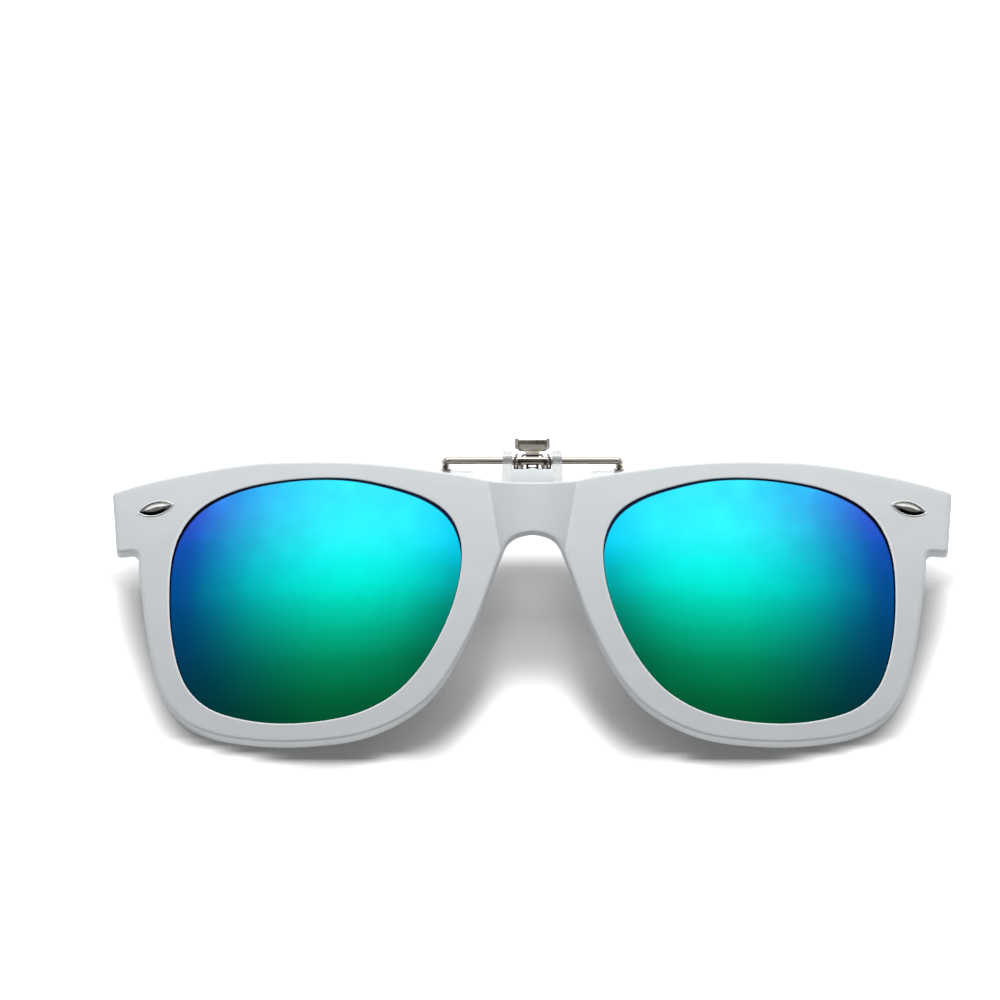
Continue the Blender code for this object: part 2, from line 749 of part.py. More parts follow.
def build_screw(side, name):
    """A pan-head screw, turned from its profile."""
    seat_z = pocket_z - seat_gap - bracket_plate - run_gap
    tip = pocket_z + screw_reach
    profile = [
        (0.0, seat_z - screw_head_height), (screw_head_radius * 0.6, seat_z - screw_head_height),
        (screw_head_radius, seat_z - screw_head_height * 0.5), (screw_head_radius, seat_z),
        (screw_radius, seat_z), (screw_radius, tip - screw_radius), (0.0, tip),
    ]
    shape = bmesh.new()
    verts = [shape.verts.new((r, 0.0, z)) for r, z in profile]
    edges = [shape.edges.new(pair) for pair in zip(verts, verts[1:])]
    bmesh.ops.spin(shape, geom=verts + edges, cent=(0.0, 0.0, 0.0), axis=(0.0, 0.0, 1.0),
                   angle=math.tau, steps=16, use_merge=True)
    bmesh.ops.remove_doubles(shape, verts=shape.verts, dist=0.001 * mm)
    bmesh.ops.translate(shape, verts=shape.verts,
                        vec=(side * screw_spread / 2, bridge_top - screw_drop, 0.0))
    add_piece(name, mesh_of(shape, name), screw_steel, flip_axis)


# The clip that grips the spectacles

def mirrored_line(half):
    """A line from the left tip to the right one, from its right half that ends at the tip."""
    left = [Vector((-p.x, p.y, p.z)) for p in reversed(half)]
    return left + half


def build_hinge_wire():
    """One wire: the hinge pin in the middle, and at each end a leg of the front jaw."""
    top_y = wire_y - front_pad_drop
    low_y = top_y - front_pad_height + pad_floor + run_gap
    corners = [Vector((0.0, wire_y, wire_z)), Vector((leg_x, wire_y, wire_z)),
               Vector((leg_x, wire_y, jaw_z)), Vector((leg_x, low_y, jaw_z))]
    half = bend_corners(corners, [jaw_back * wire_bend_share] * 2, 5)
    line = mirrored_line(half[1:])
    add_piece("hinge_wire", wire_mesh("hinge_wire", line, wire_radius), polished_steel, resting)


def build_pad(name, carrier, low, high, bore_x, bore_radius, bore_z):
    """A soft clear pad with a blind hole for its leg."""
    pad = add_piece(name, block(name, low, high), soft_clear, carrier)
    edges = pad.modifiers.new("Bevel", "BEVEL")
    edges.width = pad_round
    edges.segments = 2
    hole = rod(f"{name}_hole", bore_radius, (bore_x, low[1] + pad_floor, bore_z),
               (bore_x, high[1] + overrun, bore_z), sides=16)
    boolean(pad, add_cutter(f"{name}_hole", hole, carrier))


def build_front_pads():
    top_y = wire_y - front_pad_drop
    for sign, word in ((-1, "left"), (1, "right")):
        outer = sign * (leg_x + leg_inset)
        inner = outer - sign * front_pad_width
        build_pad(f"front_pad_{word}", resting,
                  (min(inner, outer), top_y - front_pad_height, jaw_z - front_pad_depth / 2),
                  (max(inner, outer), top_y, jaw_z + front_pad_depth / 2),
                  sign * leg_x, wire_radius + run_gap, jaw_z)


def build_clip_base():
    """A stamped saddle: a knuckle rolled round the wire, a floor behind it, and two ears."""
    middle = wire_radius + run_gap * 0.75 + sheet / 2
    floor_y = wire_y - middle
    line = [Vector((floor_y, wire_z - base_reach)), Vector((floor_y, wire_z - base_reach / 2))]
    line += arc_points((wire_y, wire_z), middle, math.pi, -math.pi * 0.72, 20)
    knuckle = side_plate("clip_base", ribbon(line, sheet), -base_width / 2, base_width / 2)
    base = add_piece("clip_base", knuckle, brushed_nickel, resting)
    ear_front = pin_z + ear_radius
    ear_back = pin_z - ear_radius
    floor = block("base_floor", (-ear_spread / 2, floor_y - sheet / 2, wire_z - base_reach),
                  (ear_spread / 2, floor_y + sheet / 2, ear_front))
    boolean(base, add_cutter("base_floor", floor, resting), "UNION")
    stop = block("base_stop", (-stop_width / 2, floor_y - sheet / 2, arm_z(floor_y) + sheet),
                 (stop_width / 2, floor_y + sheet / 2, wire_z - base_reach / 2))
    boolean(base, add_cutter("base_stop", stop, resting), "UNION")
    outline = [Vector((floor_y - sheet / 2, ear_front))]
    outline += arc_points((pin_y, pin_z), ear_radius, math.pi / 2, -math.pi / 2, 8)
    outline += [Vector((floor_y - sheet / 2, ear_back))]
    for sign in (-1, 1):
        outer = sign * ear_spread / 2
        inner = outer - sign * sheet
        ear = side_plate("ear", outline, min(inner, outer), max(inner, outer))
        word = "left" if sign < 0 else "right"
        boolean(base, add_cutter(f"base_ear_{word}", ear, resting), "UNION")
    bore = rod("pin_bore", pin_radius + run_gap / 2, (-ear_spread, pin_y, pin_z),
               (ear_spread, pin_y, pin_z), sides=16)
    boolean(base, add_cutter("pin_bore", bore, resting))


def build_pin():
    """The lever's pin, headed at both ends, turned from its profile."""
    seat = ear_spread / 2 + run_gap
    profile = [(0.0, seat + pin_head_width), (pin_head_radius * 0.7, seat + pin_head_width),
               (pin_head_radius, seat + pin_head_width / 2), (pin_head_radius, seat),
               (pin_radius, seat)]
    profile += [(r, -h) for r, h in reversed(profile)]
    shape = bmesh.new()
    verts = [shape.verts.new((h, r, 0.0)) for r, h in profile]
    edges = [shape.edges.new(pair) for pair in zip(verts, verts[1:])]
    bmesh.ops.spin(shape, geom=verts + edges, cent=(0.0, 0.0, 0.0), axis=(1.0, 0.0, 0.0),
                   angle=math.tau, steps=16, use_merge=True)
    bmesh.ops.remove_doubles(shape, verts=shape.verts, dist=0.001 * mm)
    bmesh.ops.translate(shape, verts=shape.verts, vec=(0.0, pin_y, pin_z))
    add_piece("pivot_pin", mesh_of(shape, "pivot_pin"), screw_steel, resting)


# The lever, the rear jaw and the spring

def arm_z(y):
    """Height of the arm's middle line, which runs straight past the pin to the rear wire."""
    top = pin_z - (pin_radius + run_gap / 2 + sheet)
    low = rear_z - (rear_radius + run_gap / 2 + sheet / 2)
    return top + (low - top) * (pin_y - y) / arm_drop


def build_lever():
    """The thumb lever, one stamping: a roll on the rear wire, an arm, a neck and a flanged tab."""
    roll = rear_radius + run_gap / 2 + sheet / 2
    arm = arm_width / 2
    rows = []
    for point in arc_points((rear_y, rear_z), roll, math.pi * 0.25, math.pi * 1.5, 9):
        rows.append((point.x, point.y, arm - tab_flange / 2, arm, 0.0))
    for share in (0.35, 0.7, 1.0):
        y = rear_y + arm_drop * share
        rows.append((y, arm_z(y), arm - tab_flange / 2, arm, 0.0))
    neck = neck_width / 2
    top_y, top_z = pin_y + neck_top_rise, pin_z - neck_lean
    rows.append((top_y - neck_top_rise * 0.7, arm_z(pin_y), arm - tab_flange / 2, arm, 0.0))
    rows.append((top_y - neck_top_rise * 0.15, top_z + sheet, neck - tab_flange / 2, neck, 0.0))
    plate = tab_width / 2 - tab_flange
    for share in (0.12, 0.3, 0.75, 1.0):
        y = top_y + tab_length * share * math.cos(tab_lean)
        z = top_z - tab_length * share * math.sin(tab_lean)
        rows.append((y, z, plate, tab_width / 2, tab_fold))
    shape = bmesh.new()
    grid = []
    for i, (y, z, inner, outer, fold) in enumerate(rows):
        horn = tab_horn if i == len(rows) - 1 else 0.0
        rise = Vector((0.0, math.sin(tab_lean), math.cos(tab_lean))) * fold
        rise += Vector((0.0, math.cos(tab_lean), -math.sin(tab_lean))) * horn
        middle = Vector((0.0, y, z))
        across = [-outer, -inner, inner, outer]
        lifted = [rise, Vector(), Vector(), rise]
        grid.append([shape.verts.new(middle + Vector((x, 0.0, 0.0)) + up)
                     for x, up in zip(across, lifted)])
    for row, after in zip(grid, grid[1:]):
        for i in range(3):
            shape.faces.new((row[i], row[i + 1], after[i + 1], after[i]))
    lever = add_piece("thumb_lever", mesh_of(shape, "thumb_lever", outward=False),
                      brushed_nickel, lever_axis)
    wall = lever.modifiers.new("Solidify", "SOLIDIFY")
    wall.thickness = sheet
    wall.offset = 0.0
    lug = pin_radius + run_gap / 2 + sheet
    outline = arc_points((pin_y, pin_z), lug, math.pi / 2 + 0.6, -0.6, 8)
    outline += [Vector((pin_y + lug, arm_z(pin_y))), Vector((pin_y - lug, arm_z(pin_y - lug)))]
    for sign in (-1, 1):
        outer = sign * (arm_width - sheet) / 2
        inner = outer - sign * sheet
        plate = side_plate("lug", outline, min(inner, outer), max(inner, outer))
        word = "left" if sign < 0 else "right"
        boolean(lever, add_cutter(f"lever_lug_{word}", plate, lever_axis), "UNION")
    bore = rod("lever_bore", pin_radius + run_gap / 2, (-arm_width, pin_y, pin_z),
               (arm_width, pin_y, pin_z), sides=16)
    boolean(lever, add_cutter("lever_bore", bore, lever_axis))


def build_rear_wire():
    """The rear jaw: a wire under the lever with a leg down to each rear pad."""
    leg_x = rear_pad_spread / 2 - rear_pad_width / 2
    top_y = rear_y - rear_pad_drop
    low_y = top_y - rear_pad_height + pad_floor + run_gap
    corners = [Vector((0.0, rear_y, rear_z)), Vector((leg_x - rear_bend * 2, rear_y, rear_z)),
               Vector((leg_x, top_y + rear_bend * 1.2, rear_leg_z)),
               Vector((leg_x, low_y, rear_leg_z))]
    half = bend_corners(corners, [rear_bend, rear_bend], 4)
    line = mirrored_line(half[1:])
    add_piece("rear_wire", wire_mesh("rear_wire", line, rear_radius), polished_steel, lever_axis)


def build_rear_pads():
    top_y = rear_y - rear_pad_drop
    for sign, word in ((-1, "left"), (1, "right")):
        outer = sign * rear_pad_spread / 2
        inner = outer - sign * rear_pad_width
        build_pad(f"rear_pad_{word}", lever_axis,
                  (min(inner, outer), top_y - rear_pad_height, rear_leg_z - rear_pad_depth / 2),
                  (max(inner, outer), top_y, rear_leg_z + rear_pad_depth / 2),
                  (inner + outer) / 2, rear_radius + run_gap, rear_leg_z)


def build_spring():
    """One wire with a turn each side of the lever: it hooks under the base and holds the neck."""
    coil = pin_radius + seat_gap + spring_radius
    outer_x = ear_spread / 2 - sheet - run_gap * 0.75 - spring_radius
    inner_x = outer_x - spring_pitch
    under_y = wire_y - (wire_radius + run_gap * 0.75 + sheet) - run_gap - spring_radius
    back_z = pin_z - coil
    neck_y = pin_y + neck_top_rise * 0.6
    neck_z = pin_z - neck_lean + sheet * 1.5 + run_gap + spring_radius
    hook = bend_corners([Vector((outer_x, under_y, wire_z + spring_tip)),
                         Vector((outer_x, under_y, back_z)), Vector((outer_x, pin_y, back_z))],
                        [spring_radius * 2.5], 3)
    turn = []
    for i in range(1, 10):
        angle = math.pi - math.tau * i / 10
        turn.append(Vector((outer_x - spring_pitch * i / 10, pin_y + coil * math.sin(angle),
                            pin_z + coil * math.cos(angle))))
    side_x = (arm_width + neck_width) / 4 + run_gap + spring_radius
    leg = bend_corners([Vector((inner_x, pin_y, back_z)), Vector((side_x, neck_y, neck_z)),
                        Vector((0.0, neck_y, neck_z))], [spring_radius * 2], 3)
    right = hook + turn + leg[:-1]
    left = [Vector((-p.x, p.y, p.z)) for p in reversed(right)]
    line = right + left
    least = min((a - b).length for i, a in enumerate(line) for b in line[i + 8:])
    print(f"spring: least gap to itself {(least - 2 * spring_radius) / mm:.2f} mm")
    add_piece("torsion_spring", wire_mesh("torsion_spring", line, spring_radius, 1),
              spring_steel, resting)


# Laying it down

def lying_tilt(front):
    """The turn about X that levels the lowest point of the rims with that of the end pieces."""
    points = [Vector((v.co.y, v.co.z)) for v in front.data.vertices if v.co.x >= 0]
    low, high = -0.5, 0.5
    for _ in range(50):
        tilt = (low + high) / 2
        drops = [p.x * math.sin(tilt) + p.y * math.cos(tilt) for p in points]
        upper = min(d for d, p in zip(drops, points) if p.x > 0)
        lower = min(d for d, p in zip(drops, points) if p.x <= 0)
        if upper < lower:
            low = tilt
        else:
            high = tilt
    return tilt


def lay_down(front):
    resting.rotation_euler = (lying_tilt(front), 0.0, 0.0)
    bpy.context.view_layer.update()
    graph = bpy.context.evaluated_depsgraph_get()
    corners = []
    for piece in parts.objects:
        if piece.type == "MESH":
            shown = piece.evaluated_get(graph)
            corners += [shown.matrix_world @ v.co for v in shown.data.vertices]
    low = Vector([min(c[i] for c in corners) for i in range(3)])
    high = Vector([max(c[i] for c in corners) for i in range(3)])
    resting.location = (-(low.x + high.x) / 2, -(low.y + high.y) / 2, -low.z)
    bpy.context.view_layer.update()
    print("size in mm:", [round(v / mm, 2) for v in high - low])
    print("resting place in mm:", [round(v / mm, 3) for v in resting.location])
    print("tilt in degrees:", round(math.degrees(resting.rotation_euler.x), 3))
    for empty in (flip_axis, lever_axis):
        place = empty.matrix_world.translation
        print(empty.name, "in mm:", [round(v / mm, 3) for v in place])


clear_scene()
parts = collection("flip_up_clip_on_sunglasses")
cutters = collection("cutters")
frame_white = finish("frame_white", (0.80, 0.82, 0.84), 0.35)
lens_mirror = finish("lens_mirror", (0.02, 0.62, 0.60), 0.06, 0.9)
polished_steel = finish("polished_steel", (0.72, 0.70, 0.67), 0.12, 1.0)
brushed_nickel = finish("brushed_nickel", (0.55, 0.52, 0.47), 0.32, 1.0)
screw_steel = finish("screw_steel", (0.50, 0.50, 0.50), 0.28, 1.0)
spring_steel = finish("spring_steel", (0.20, 0.19, 0.18), 0.30, 1.0)
clear_plastic = finish("clear_plastic", (0.94, 0.95, 0.95), 0.08, 0.0, 0.9)
soft_clear = finish("soft_clear", (0.92, 0.92, 0.90), 0.30, 0.0, 0.8)

resting = axis_empty("resting_pose", 0.0, 0.0)
flip_axis = axis_empty("flip_hinge_axis", wire_y, wire_z, resting)
lever_axis = axis_empty("lever_axis", pin_y, pin_z, resting)

front_frame = build_front()
for side_sign, side_word in ((-1.0, "left"), (1.0, "right")):
    build_lens(side_sign, f"lens_{side_word}")
    build_rivet(side_sign, f"rivet_{side_word}")
    build_screw(side_sign, f"bracket_screw_{side_word}")
build_bracket()
build_hinge_wire()
build_front_pads()
build_clip_base()
build_pin()
build_lever()
build_rear_wire()
build_rear_pads()
build_spring()
lay_down(front_frame)
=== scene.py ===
# Flip-up clip-on sunglasses with blue-green mirror lenses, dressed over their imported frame.
# Shapes are drawn in the wearer's frame (X to the side, Y up the face, Z out of the front),
# and addPiece() then lays them on the table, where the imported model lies.
import math

import bmesh
import bpy
from mathutils import Matrix, Vector
from mathutils.bvhtree import BVHTree


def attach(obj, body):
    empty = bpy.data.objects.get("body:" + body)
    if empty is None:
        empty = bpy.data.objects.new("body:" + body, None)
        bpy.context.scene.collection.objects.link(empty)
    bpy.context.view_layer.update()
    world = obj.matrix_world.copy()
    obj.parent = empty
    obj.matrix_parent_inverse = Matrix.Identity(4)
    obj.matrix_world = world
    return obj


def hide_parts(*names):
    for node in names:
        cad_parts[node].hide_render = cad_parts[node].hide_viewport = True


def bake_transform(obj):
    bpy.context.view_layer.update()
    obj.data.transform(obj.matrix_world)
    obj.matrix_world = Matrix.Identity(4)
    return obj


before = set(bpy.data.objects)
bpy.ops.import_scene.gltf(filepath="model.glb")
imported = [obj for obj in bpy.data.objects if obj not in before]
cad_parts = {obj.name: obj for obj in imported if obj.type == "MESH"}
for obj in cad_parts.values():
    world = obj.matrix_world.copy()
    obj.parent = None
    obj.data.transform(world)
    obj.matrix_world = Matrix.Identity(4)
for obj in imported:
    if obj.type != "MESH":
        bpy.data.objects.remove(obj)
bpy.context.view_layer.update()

mm = 0.001
print("frame loaded:", len(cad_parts), "nodes")

hands = ((-1.0, "Left"), (1.0, "Right"))
laying = {
    "tilt": math.radians(5.659),
    "place": Vector((0.0, -4.121, 16.129)) * mm,
}
restMatrix = Matrix.Translation(laying["place"]) @ Matrix.Rotation(laying["tilt"], 4, "X")


# Helpers for lines and meshes

def evenly(line, steps):
    # the same line with its points at equal distances
    lengths = [0.0]
    for a, b in zip(line, line[1:]):
        lengths.append(lengths[-1] + (b - a).length)
    spaced, at = [], 0
    for i in range(steps + 1):
        want = lengths[-1] * i / steps
        while at < len(line) - 2 and lengths[at + 1] < want:
            at += 1
        span = lengths[at + 1] - lengths[at]
        spaced.append(line[at].lerp(line[at + 1], min((want - lengths[at]) / span, 1.0) if span else 0.0))
    return spaced


def smoothLine(points, steps, closed=False):
    # a curve that passes through all the points
    count = len(points)
    fine = []
    for i in range(count if closed else count - 1):
        if closed:
            a, b, c, d = (points[(i + k) % count] for k in (-1, 0, 1, 2))
        else:
            a, b, c, d = (points[min(max(i + k, 0), count - 1)] for k in (-1, 0, 1, 2))
        for j in range(16):
            t = j / 16
            fine.append(0.5 * (2 * b + (c - a) * t + (2 * a - 5 * b + 4 * c - d) * t ** 2
                               + (3 * b - a - 3 * c + d) * t ** 3))
    fine.append(points[0] if closed else points[-1])
    return evenly(fine, steps)


def roundCorners(points, radii, steps):
    # straight runs with an arc at each corner
    line = [points[0]]
    for before, corner, after, radius in zip(points, points[1:], points[2:], radii):
        back = (before - corner).normalized()
        ahead = (after - corner).normalized()
        opening = back.angle(ahead)
        centre = corner + (back + ahead).normalized() * radius / math.sin(opening / 2)
        start = corner + back * radius / math.tan(opening / 2) - centre
        end = corner + ahead * radius / math.tan(opening / 2) - centre
        sweep = start.angle(end)
        for i in range(steps + 1):
            t = i / steps
            arm = (start * math.sin((1 - t) * sweep) + end * math.sin(t * sweep)) / math.sin(sweep)
            line.append(centre + arm)
    line.append(points[-1])
    return line


def vertsOf(result):
    return [g for g in result["geom"] if isinstance(g, bmesh.types.BMVert)]


def growRow(bm, row, places):
    # extrudes a row or closed ring of vertices once, and moves each new vertex to its place
    order = {v: i for i, v in enumerate(row)}
    edges = [e for e in bm.edges if e.verts[0] in order and e.verts[1] in order and len(e.link_faces) < 2]
    grown = [None] * len(row)
    for v in vertsOf(bmesh.ops.extrude_edge_only(bm, edges=edges)):
        root = next(e.other_vert(v) for e in v.link_edges if e.other_vert(v) in order)
        grown[order[root]] = v
        v.co = places[order[root]]
    return grown


def startRing(bm, places):
    ring = bmesh.ops.create_circle(bm, segments=len(places), radius=mm)["verts"]
    for v, place in zip(ring, places):
        v.co = place
    return ring


def meshOf(name, bm, closed=True):
    if closed:
        bmesh.ops.remove_doubles(bm, verts=bm.verts, dist=0.0005 * mm)
        bmesh.ops.recalc_face_normals(bm, faces=bm.faces)
    mesh = bpy.data.meshes.new(name)
    bm.to_mesh(mesh)
    bm.free()
    return mesh


def linked(name, data):
    item = bpy.data.objects.new(name, data)
    bpy.context.scene.collection.objects.link(item)
    return item


def drawnFrom(holder):
    # the mesh that an object's curve or modifiers make; the object itself goes
    graph = bpy.context.evaluated_depsgraph_get()
    made = bpy.data.meshes.new_from_object(holder.evaluated_get(graph))
    bpy.data.objects.remove(holder, do_unlink=True)
    return made


def roundEdges(bm, edges, offset, segments, **more):
    bmesh.ops.bevel(bm, geom=edges, offset=offset, segments=segments, profile=0.5,
                    affect="EDGES", material=-1, **more)


def addPiece(name, mesh, finishes, body, *stoodFor, angle=38.0):
    mesh.transform(restMatrix)
    piece = linked(name, mesh)
    if mesh.materials:
        mesh.materials.clear()
    for finish in finishes:
        mesh.materials.append(finish)
    mesh.shade_smooth()
    mesh.set_sharp_from_angle(angle=math.radians(angle))
    if body:
        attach(piece, body)
    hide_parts(*stoodFor)
    return piece


def joinShapes(mesh, steps):
    # cuts tools out of a mesh, or welds them on, one after the other
    holder = linked("holder", mesh)
    tools = [linked("tool", shape) for how, shape in steps]
    for (how, shape), tool in zip(steps, tools):
        modifier = holder.modifiers.new("shape", "BOOLEAN")
        modifier.operation = how
        modifier.solver = "EXACT"
        modifier.object = tool
    made = drawnFrom(holder)
    for tool in tools:
        bpy.data.objects.remove(tool, do_unlink=True)
    bm = bmesh.new()
    bm.from_mesh(made)
    bmesh.ops.remove_doubles(bm, verts=bm.verts, dist=0.001 * mm)
    bmesh.ops.dissolve_degenerate(bm, edges=bm.edges, dist=0.0005 * mm)
    bm.to_mesh(made)
    bm.free()
    return made


def bore(radius, start, end, sides=36):
    # a round cutter between two points, as a step of joinShapes()
    start, end = Vector(start), Vector(end)
    turn = (end - start).to_track_quat("Z", "Y").to_matrix().to_4x4()
    bm = bmesh.new()
    bmesh.ops.create_cone(bm, cap_ends=True, segments=sides, radius1=radius, radius2=radius,
                          depth=(end - start).length, matrix=Matrix.Translation((start + end) / 2) @ turn)
    return "DIFFERENCE", meshOf("bore", bm)


def softBlock(name, low, high, rounding=0.0, segments=3):
    # a block between two corners with all its edges rounded
    low, high = Vector(low), Vector(high)
    bm = bmesh.new()
    bmesh.ops.create_cube(bm, size=1.0)
    bmesh.ops.scale(bm, vec=high - low, verts=bm.verts)
    bmesh.ops.translate(bm, vec=(high + low) / 2, verts=bm.verts)
    if rounding:
        roundEdges(bm, bm.edges[:], rounding, segments)
    return meshOf(name, bm)


def wireMesh(name, line, radius, around=7):
    # a round wire along a line, its two ends domed
    curve = bpy.data.curves.new(name, "CURVE")
    curve.dimensions = "3D"
    curve.bevel_depth = radius
    curve.bevel_resolution = around
    curve.use_fill_caps = True
    first = (line[1] - line[0]).normalized() * radius
    last = (line[-2] - line[-1]).normalized() * radius
    ends = [(0.0, 0.45), (0.12, 0.72), (0.32, 0.9), (0.62, 1.0)]
    points = [(line[0] + first * far, share) for far, share in ends]
    points += [(p, 1.0) for p in line[1:-1]]
    points += [(line[-1] + last * far, share) for far, share in reversed(ends)]
    spline = curve.splines.new("POLY")
    spline.points.add(len(points) - 1)
    for point, (place, share) in zip(spline.points, points):
        point.co = (*place, 1.0)
        point.radius = share
    drawn = drawnFrom(linked(name, curve))
    bm = bmesh.new()
    bm.from_mesh(drawn)
    bpy.data.meshes.remove(drawn)
    return meshOf(name, bm)


def sidePlate(name, outline, lowX, highX, rounding=0.0):
    # a plate with a side outline of (y, z) points, between two x values
    bm = bmesh.new()
    verts = [bm.verts.new((lowX, y, z)) for y, z in outline]
    bm.faces.new(verts)
    fresh = vertsOf(bmesh.ops.extrude_face_region(bm, geom=bm.faces[:]))
    bmesh.ops.translate(bm, vec=(highX - lowX, 0.0, 0.0), verts=fresh)
    bmesh.ops.recalc_face_normals(bm, faces=bm.faces)
    if rounding:
        rims = [e for e in bm.edges if abs(e.verts[0].co.x - e.verts[1].co.x) < 0.01 * mm]
        roundEdges(bm, rims, rounding, 2)
    return meshOf(name, bm)


def arcPoints(centre, radius, first, last, steps):
    # (y, z) points on an arc, the angles from +y towards +z
    angles = [first + (last - first) * i / steps for i in range(steps + 1)]
    return [(centre[0] + radius * math.cos(a), centre[1] + radius * math.sin(a)) for a in angles]


# Finishes

def newFinish(name, slot=""):
    finish = bpy.data.materials.new(name)
    finish["slot"] = slot
    finish.use_nodes = True
    tree = finish.node_tree
    return finish, tree, tree.nodes["Principled BSDF"]


def put(tree, kind, links=(), **settings):
    # a node with its settings, and the sockets that feed it
    node = tree.nodes.new(kind)
    for key, value in settings.items():
        setattr(node, key, value)
    for target, source in links:
        socket = node.inputs[target]
        if isinstance(source, bpy.types.NodeSocket):
            tree.links.new(source, socket)
        else:
            socket.default_value = source
    return node


def ramped(tree, source, stops):
    # a colour ramp over a value
    node = put(tree, "ShaderNodeValToRGB", [("Fac", source)])
    ramp = node.color_ramp
    while len(ramp.elements) < len(stops):
        ramp.elements.new(0.5)
    for element, (place, colour) in zip(ramp.elements, stops):
        element.position = place
        element.color = (*colour, 1.0)
    return node


def ranged(tree, source, low, high, start=0.0, end=1.0):
    return put(tree, "ShaderNodeMapRange", [("Value", source), ("From Min", start), ("From Max", end),
                                            ("To Min", low), ("To Max", high)]).outputs["Result"]


def reckoned(tree, how, *values):
    return put(tree, "ShaderNodeMath", enumerate(values), operation=how).outputs[0]


def mixed(tree, share, first, second):
    # sockets 6, 7 and 2 are the two colours and the result
    blend = put(tree, "ShaderNodeMix", [("Factor", share), (6, first), (7, second)], data_type="RGBA")
    return blend.outputs[2]


def markOf(tree, name):
    # a number that the mesh carries at each of its points
    return put(tree, "ShaderNodeAttribute", attribute_name=name).outputs["Fac"]


def noiseOver(tree, scale, detail=3.0, stretch=(1.0, 1.0, 1.0)):
    place = put(tree, "ShaderNodeTexCoord").outputs["Object"]
    turned = put(tree, "ShaderNodeMapping", [("Vector", place), ("Scale", stretch)]).outputs["Vector"]
    noise = put(tree, "ShaderNodeTexNoise", [("Vector", turned), ("Scale", scale), ("Detail", detail)])
    return noise.outputs["Fac"]


def spread(tree, source, low, high):
    # most of a noise lies between 0.3 and 0.7
    return ranged(tree, source, low, high, 0.3, 0.7)


def addBump(tree, shader, source, strength, distance):
    bump = put(tree, "ShaderNodeBump", [("Height", source), ("Strength", strength), ("Distance", distance)])
    tree.links.new(bump.outputs["Normal"], shader.inputs["Normal"])


def setValues(shader, **values):
    for key, value in values.items():
        shader.inputs[key.replace("_", " ")].default_value = value


def mouldedWhite():
    # satin white moulding: faint flow marks, a fine grain in the gloss
    finish, tree, shader = newFinish("satinMoulding", "frame_white")
    flow = noiseOver(tree, 90.0, 2.0, (1.0, 2.5, 1.0))
    tint = ramped(tree, flow, [(0.35, (0.690, 0.728, 0.752)), (0.65, (0.717, 0.752, 0.770))])
    colour = tint.outputs["Color"]
    # painted light carried by the mesh's marks: painted shade on the valley's sides, a painted highlight on
    # the lip of an opening, and near-black painted shade on the seat wall round a lens
    shades = {
        "paintedValleyShade": (0.530, 0.553, 0.572, 1.0),
        "paintedLipHighlight": (0.93, 0.95, 0.96, 1.0),
        "paintedSeatShade": (0.006, 0.008, 0.022, 1.0),
    }
    for name, shade in shades.items():
        colour = mixed(tree, markOf(tree, name), colour, shade)
    tree.links.new(colour, shader.inputs["Base Color"])
    grain = noiseOver(tree, 2600.0, 3.0)
    tree.links.new(spread(tree, grain, 0.34, 0.46), shader.inputs["Roughness"])
    addBump(tree, shader, grain, 0.05, 0.02 * mm)
    setValues(shader, Specular_IOR_Level=0.4)
    return finish


def mirrorCoatWithPaintedReflection(values):
    # the coating's colours by its own UV map: U from the outer edge to the nose, V from below to the brow;
    # partly the coating's own gradient and partly painted reflection, brighter in a band near the middle and
    # towards the brow and darker towards the bottom and the sides
    finish, tree, shader = newFinish("mirrorCoatWithPaintedReflection", "lens_mirror")
    uv = put(tree, "ShaderNodeUVMap", uv_map="lensPlace").outputs["UV"]
    split = put(tree, "ShaderNodeSeparateXYZ", [("Vector", uv)])
    u, v = split.outputs["X"], split.outputs["Y"]
    lean = reckoned(tree, "MULTIPLY_ADD", reckoned(tree, "SUBTRACT", v, 0.5), -values["lean"], u)
    across = ramped(tree, lean, [(place, (share,) * 3) for place, share in values["across"]])
    across.color_ramp.interpolation = "B_SPLINE"
    narrow = ranged(tree, v, values["narrow"], 1.0, 0.0, 0.55)
    ridge = reckoned(tree, "POWER", across.outputs["Color"], narrow)
    columns = [ramped(tree, v, values[key]) for key in ("outer", "ridge", "nose")]
    outer, middle, nose = (column.outputs["Color"] for column in columns)
    sides = mixed(tree, ranged(tree, lean, 0.0, 1.0, 0.45, 0.8), outer, nose)
    # painted shadow: a dark line inside the rim, in the rim colour
    edge = ranged(tree, markOf(tree, "paintedRimShadow"), 1.0, 0.0, 0.8, 1.0)
    colour = mixed(tree, edge, mixed(tree, ridge, sides, middle), values["rim"])
    tree.links.new(colour, shader.inputs["Base Color"])
    tree.links.new(spread(tree, noiseOver(tree, 260.0, 2.0), 0.16, 0.22), shader.inputs["Roughness"])
    setValues(shader, Metallic=0.9, Specular_IOR_Level=0.1)
    return finish


def smokedBack():
    # the lens from behind: dark grey polycarbonate
    finish, tree, shader = newFinish("smokedBack", "lens_mirror")
    haze = noiseOver(tree, 120.0, 2.0)
    tint = ramped(tree, haze, [(0.3, (0.012, 0.016, 0.020)), (0.7, (0.020, 0.026, 0.030))])
    tree.links.new(tint.outputs["Color"], shader.inputs["Base Color"])
    setValues(shader, Roughness=0.06, Coat_Weight=0.5, Coat_Roughness=0.03)
    return finish


def metalFinish(name, slot, dark, light, rough, stretch, scratch=0.03):
    # rolled or drawn metal: fine lines along the drawing direction
    finish, tree, shader = newFinish(name, slot)
    lines = noiseOver(tree, 700.0, 4.0, stretch)
    tint = ramped(tree, lines, [(0.3, dark), (0.7, light)])
    tree.links.new(tint.outputs["Color"], shader.inputs["Base Color"])
    tree.links.new(spread(tree, lines, *rough), shader.inputs["Roughness"])
    addBump(tree, shader, lines, scratch, 0.02 * mm)
    setValues(shader, Metallic=1.0)
    return finish


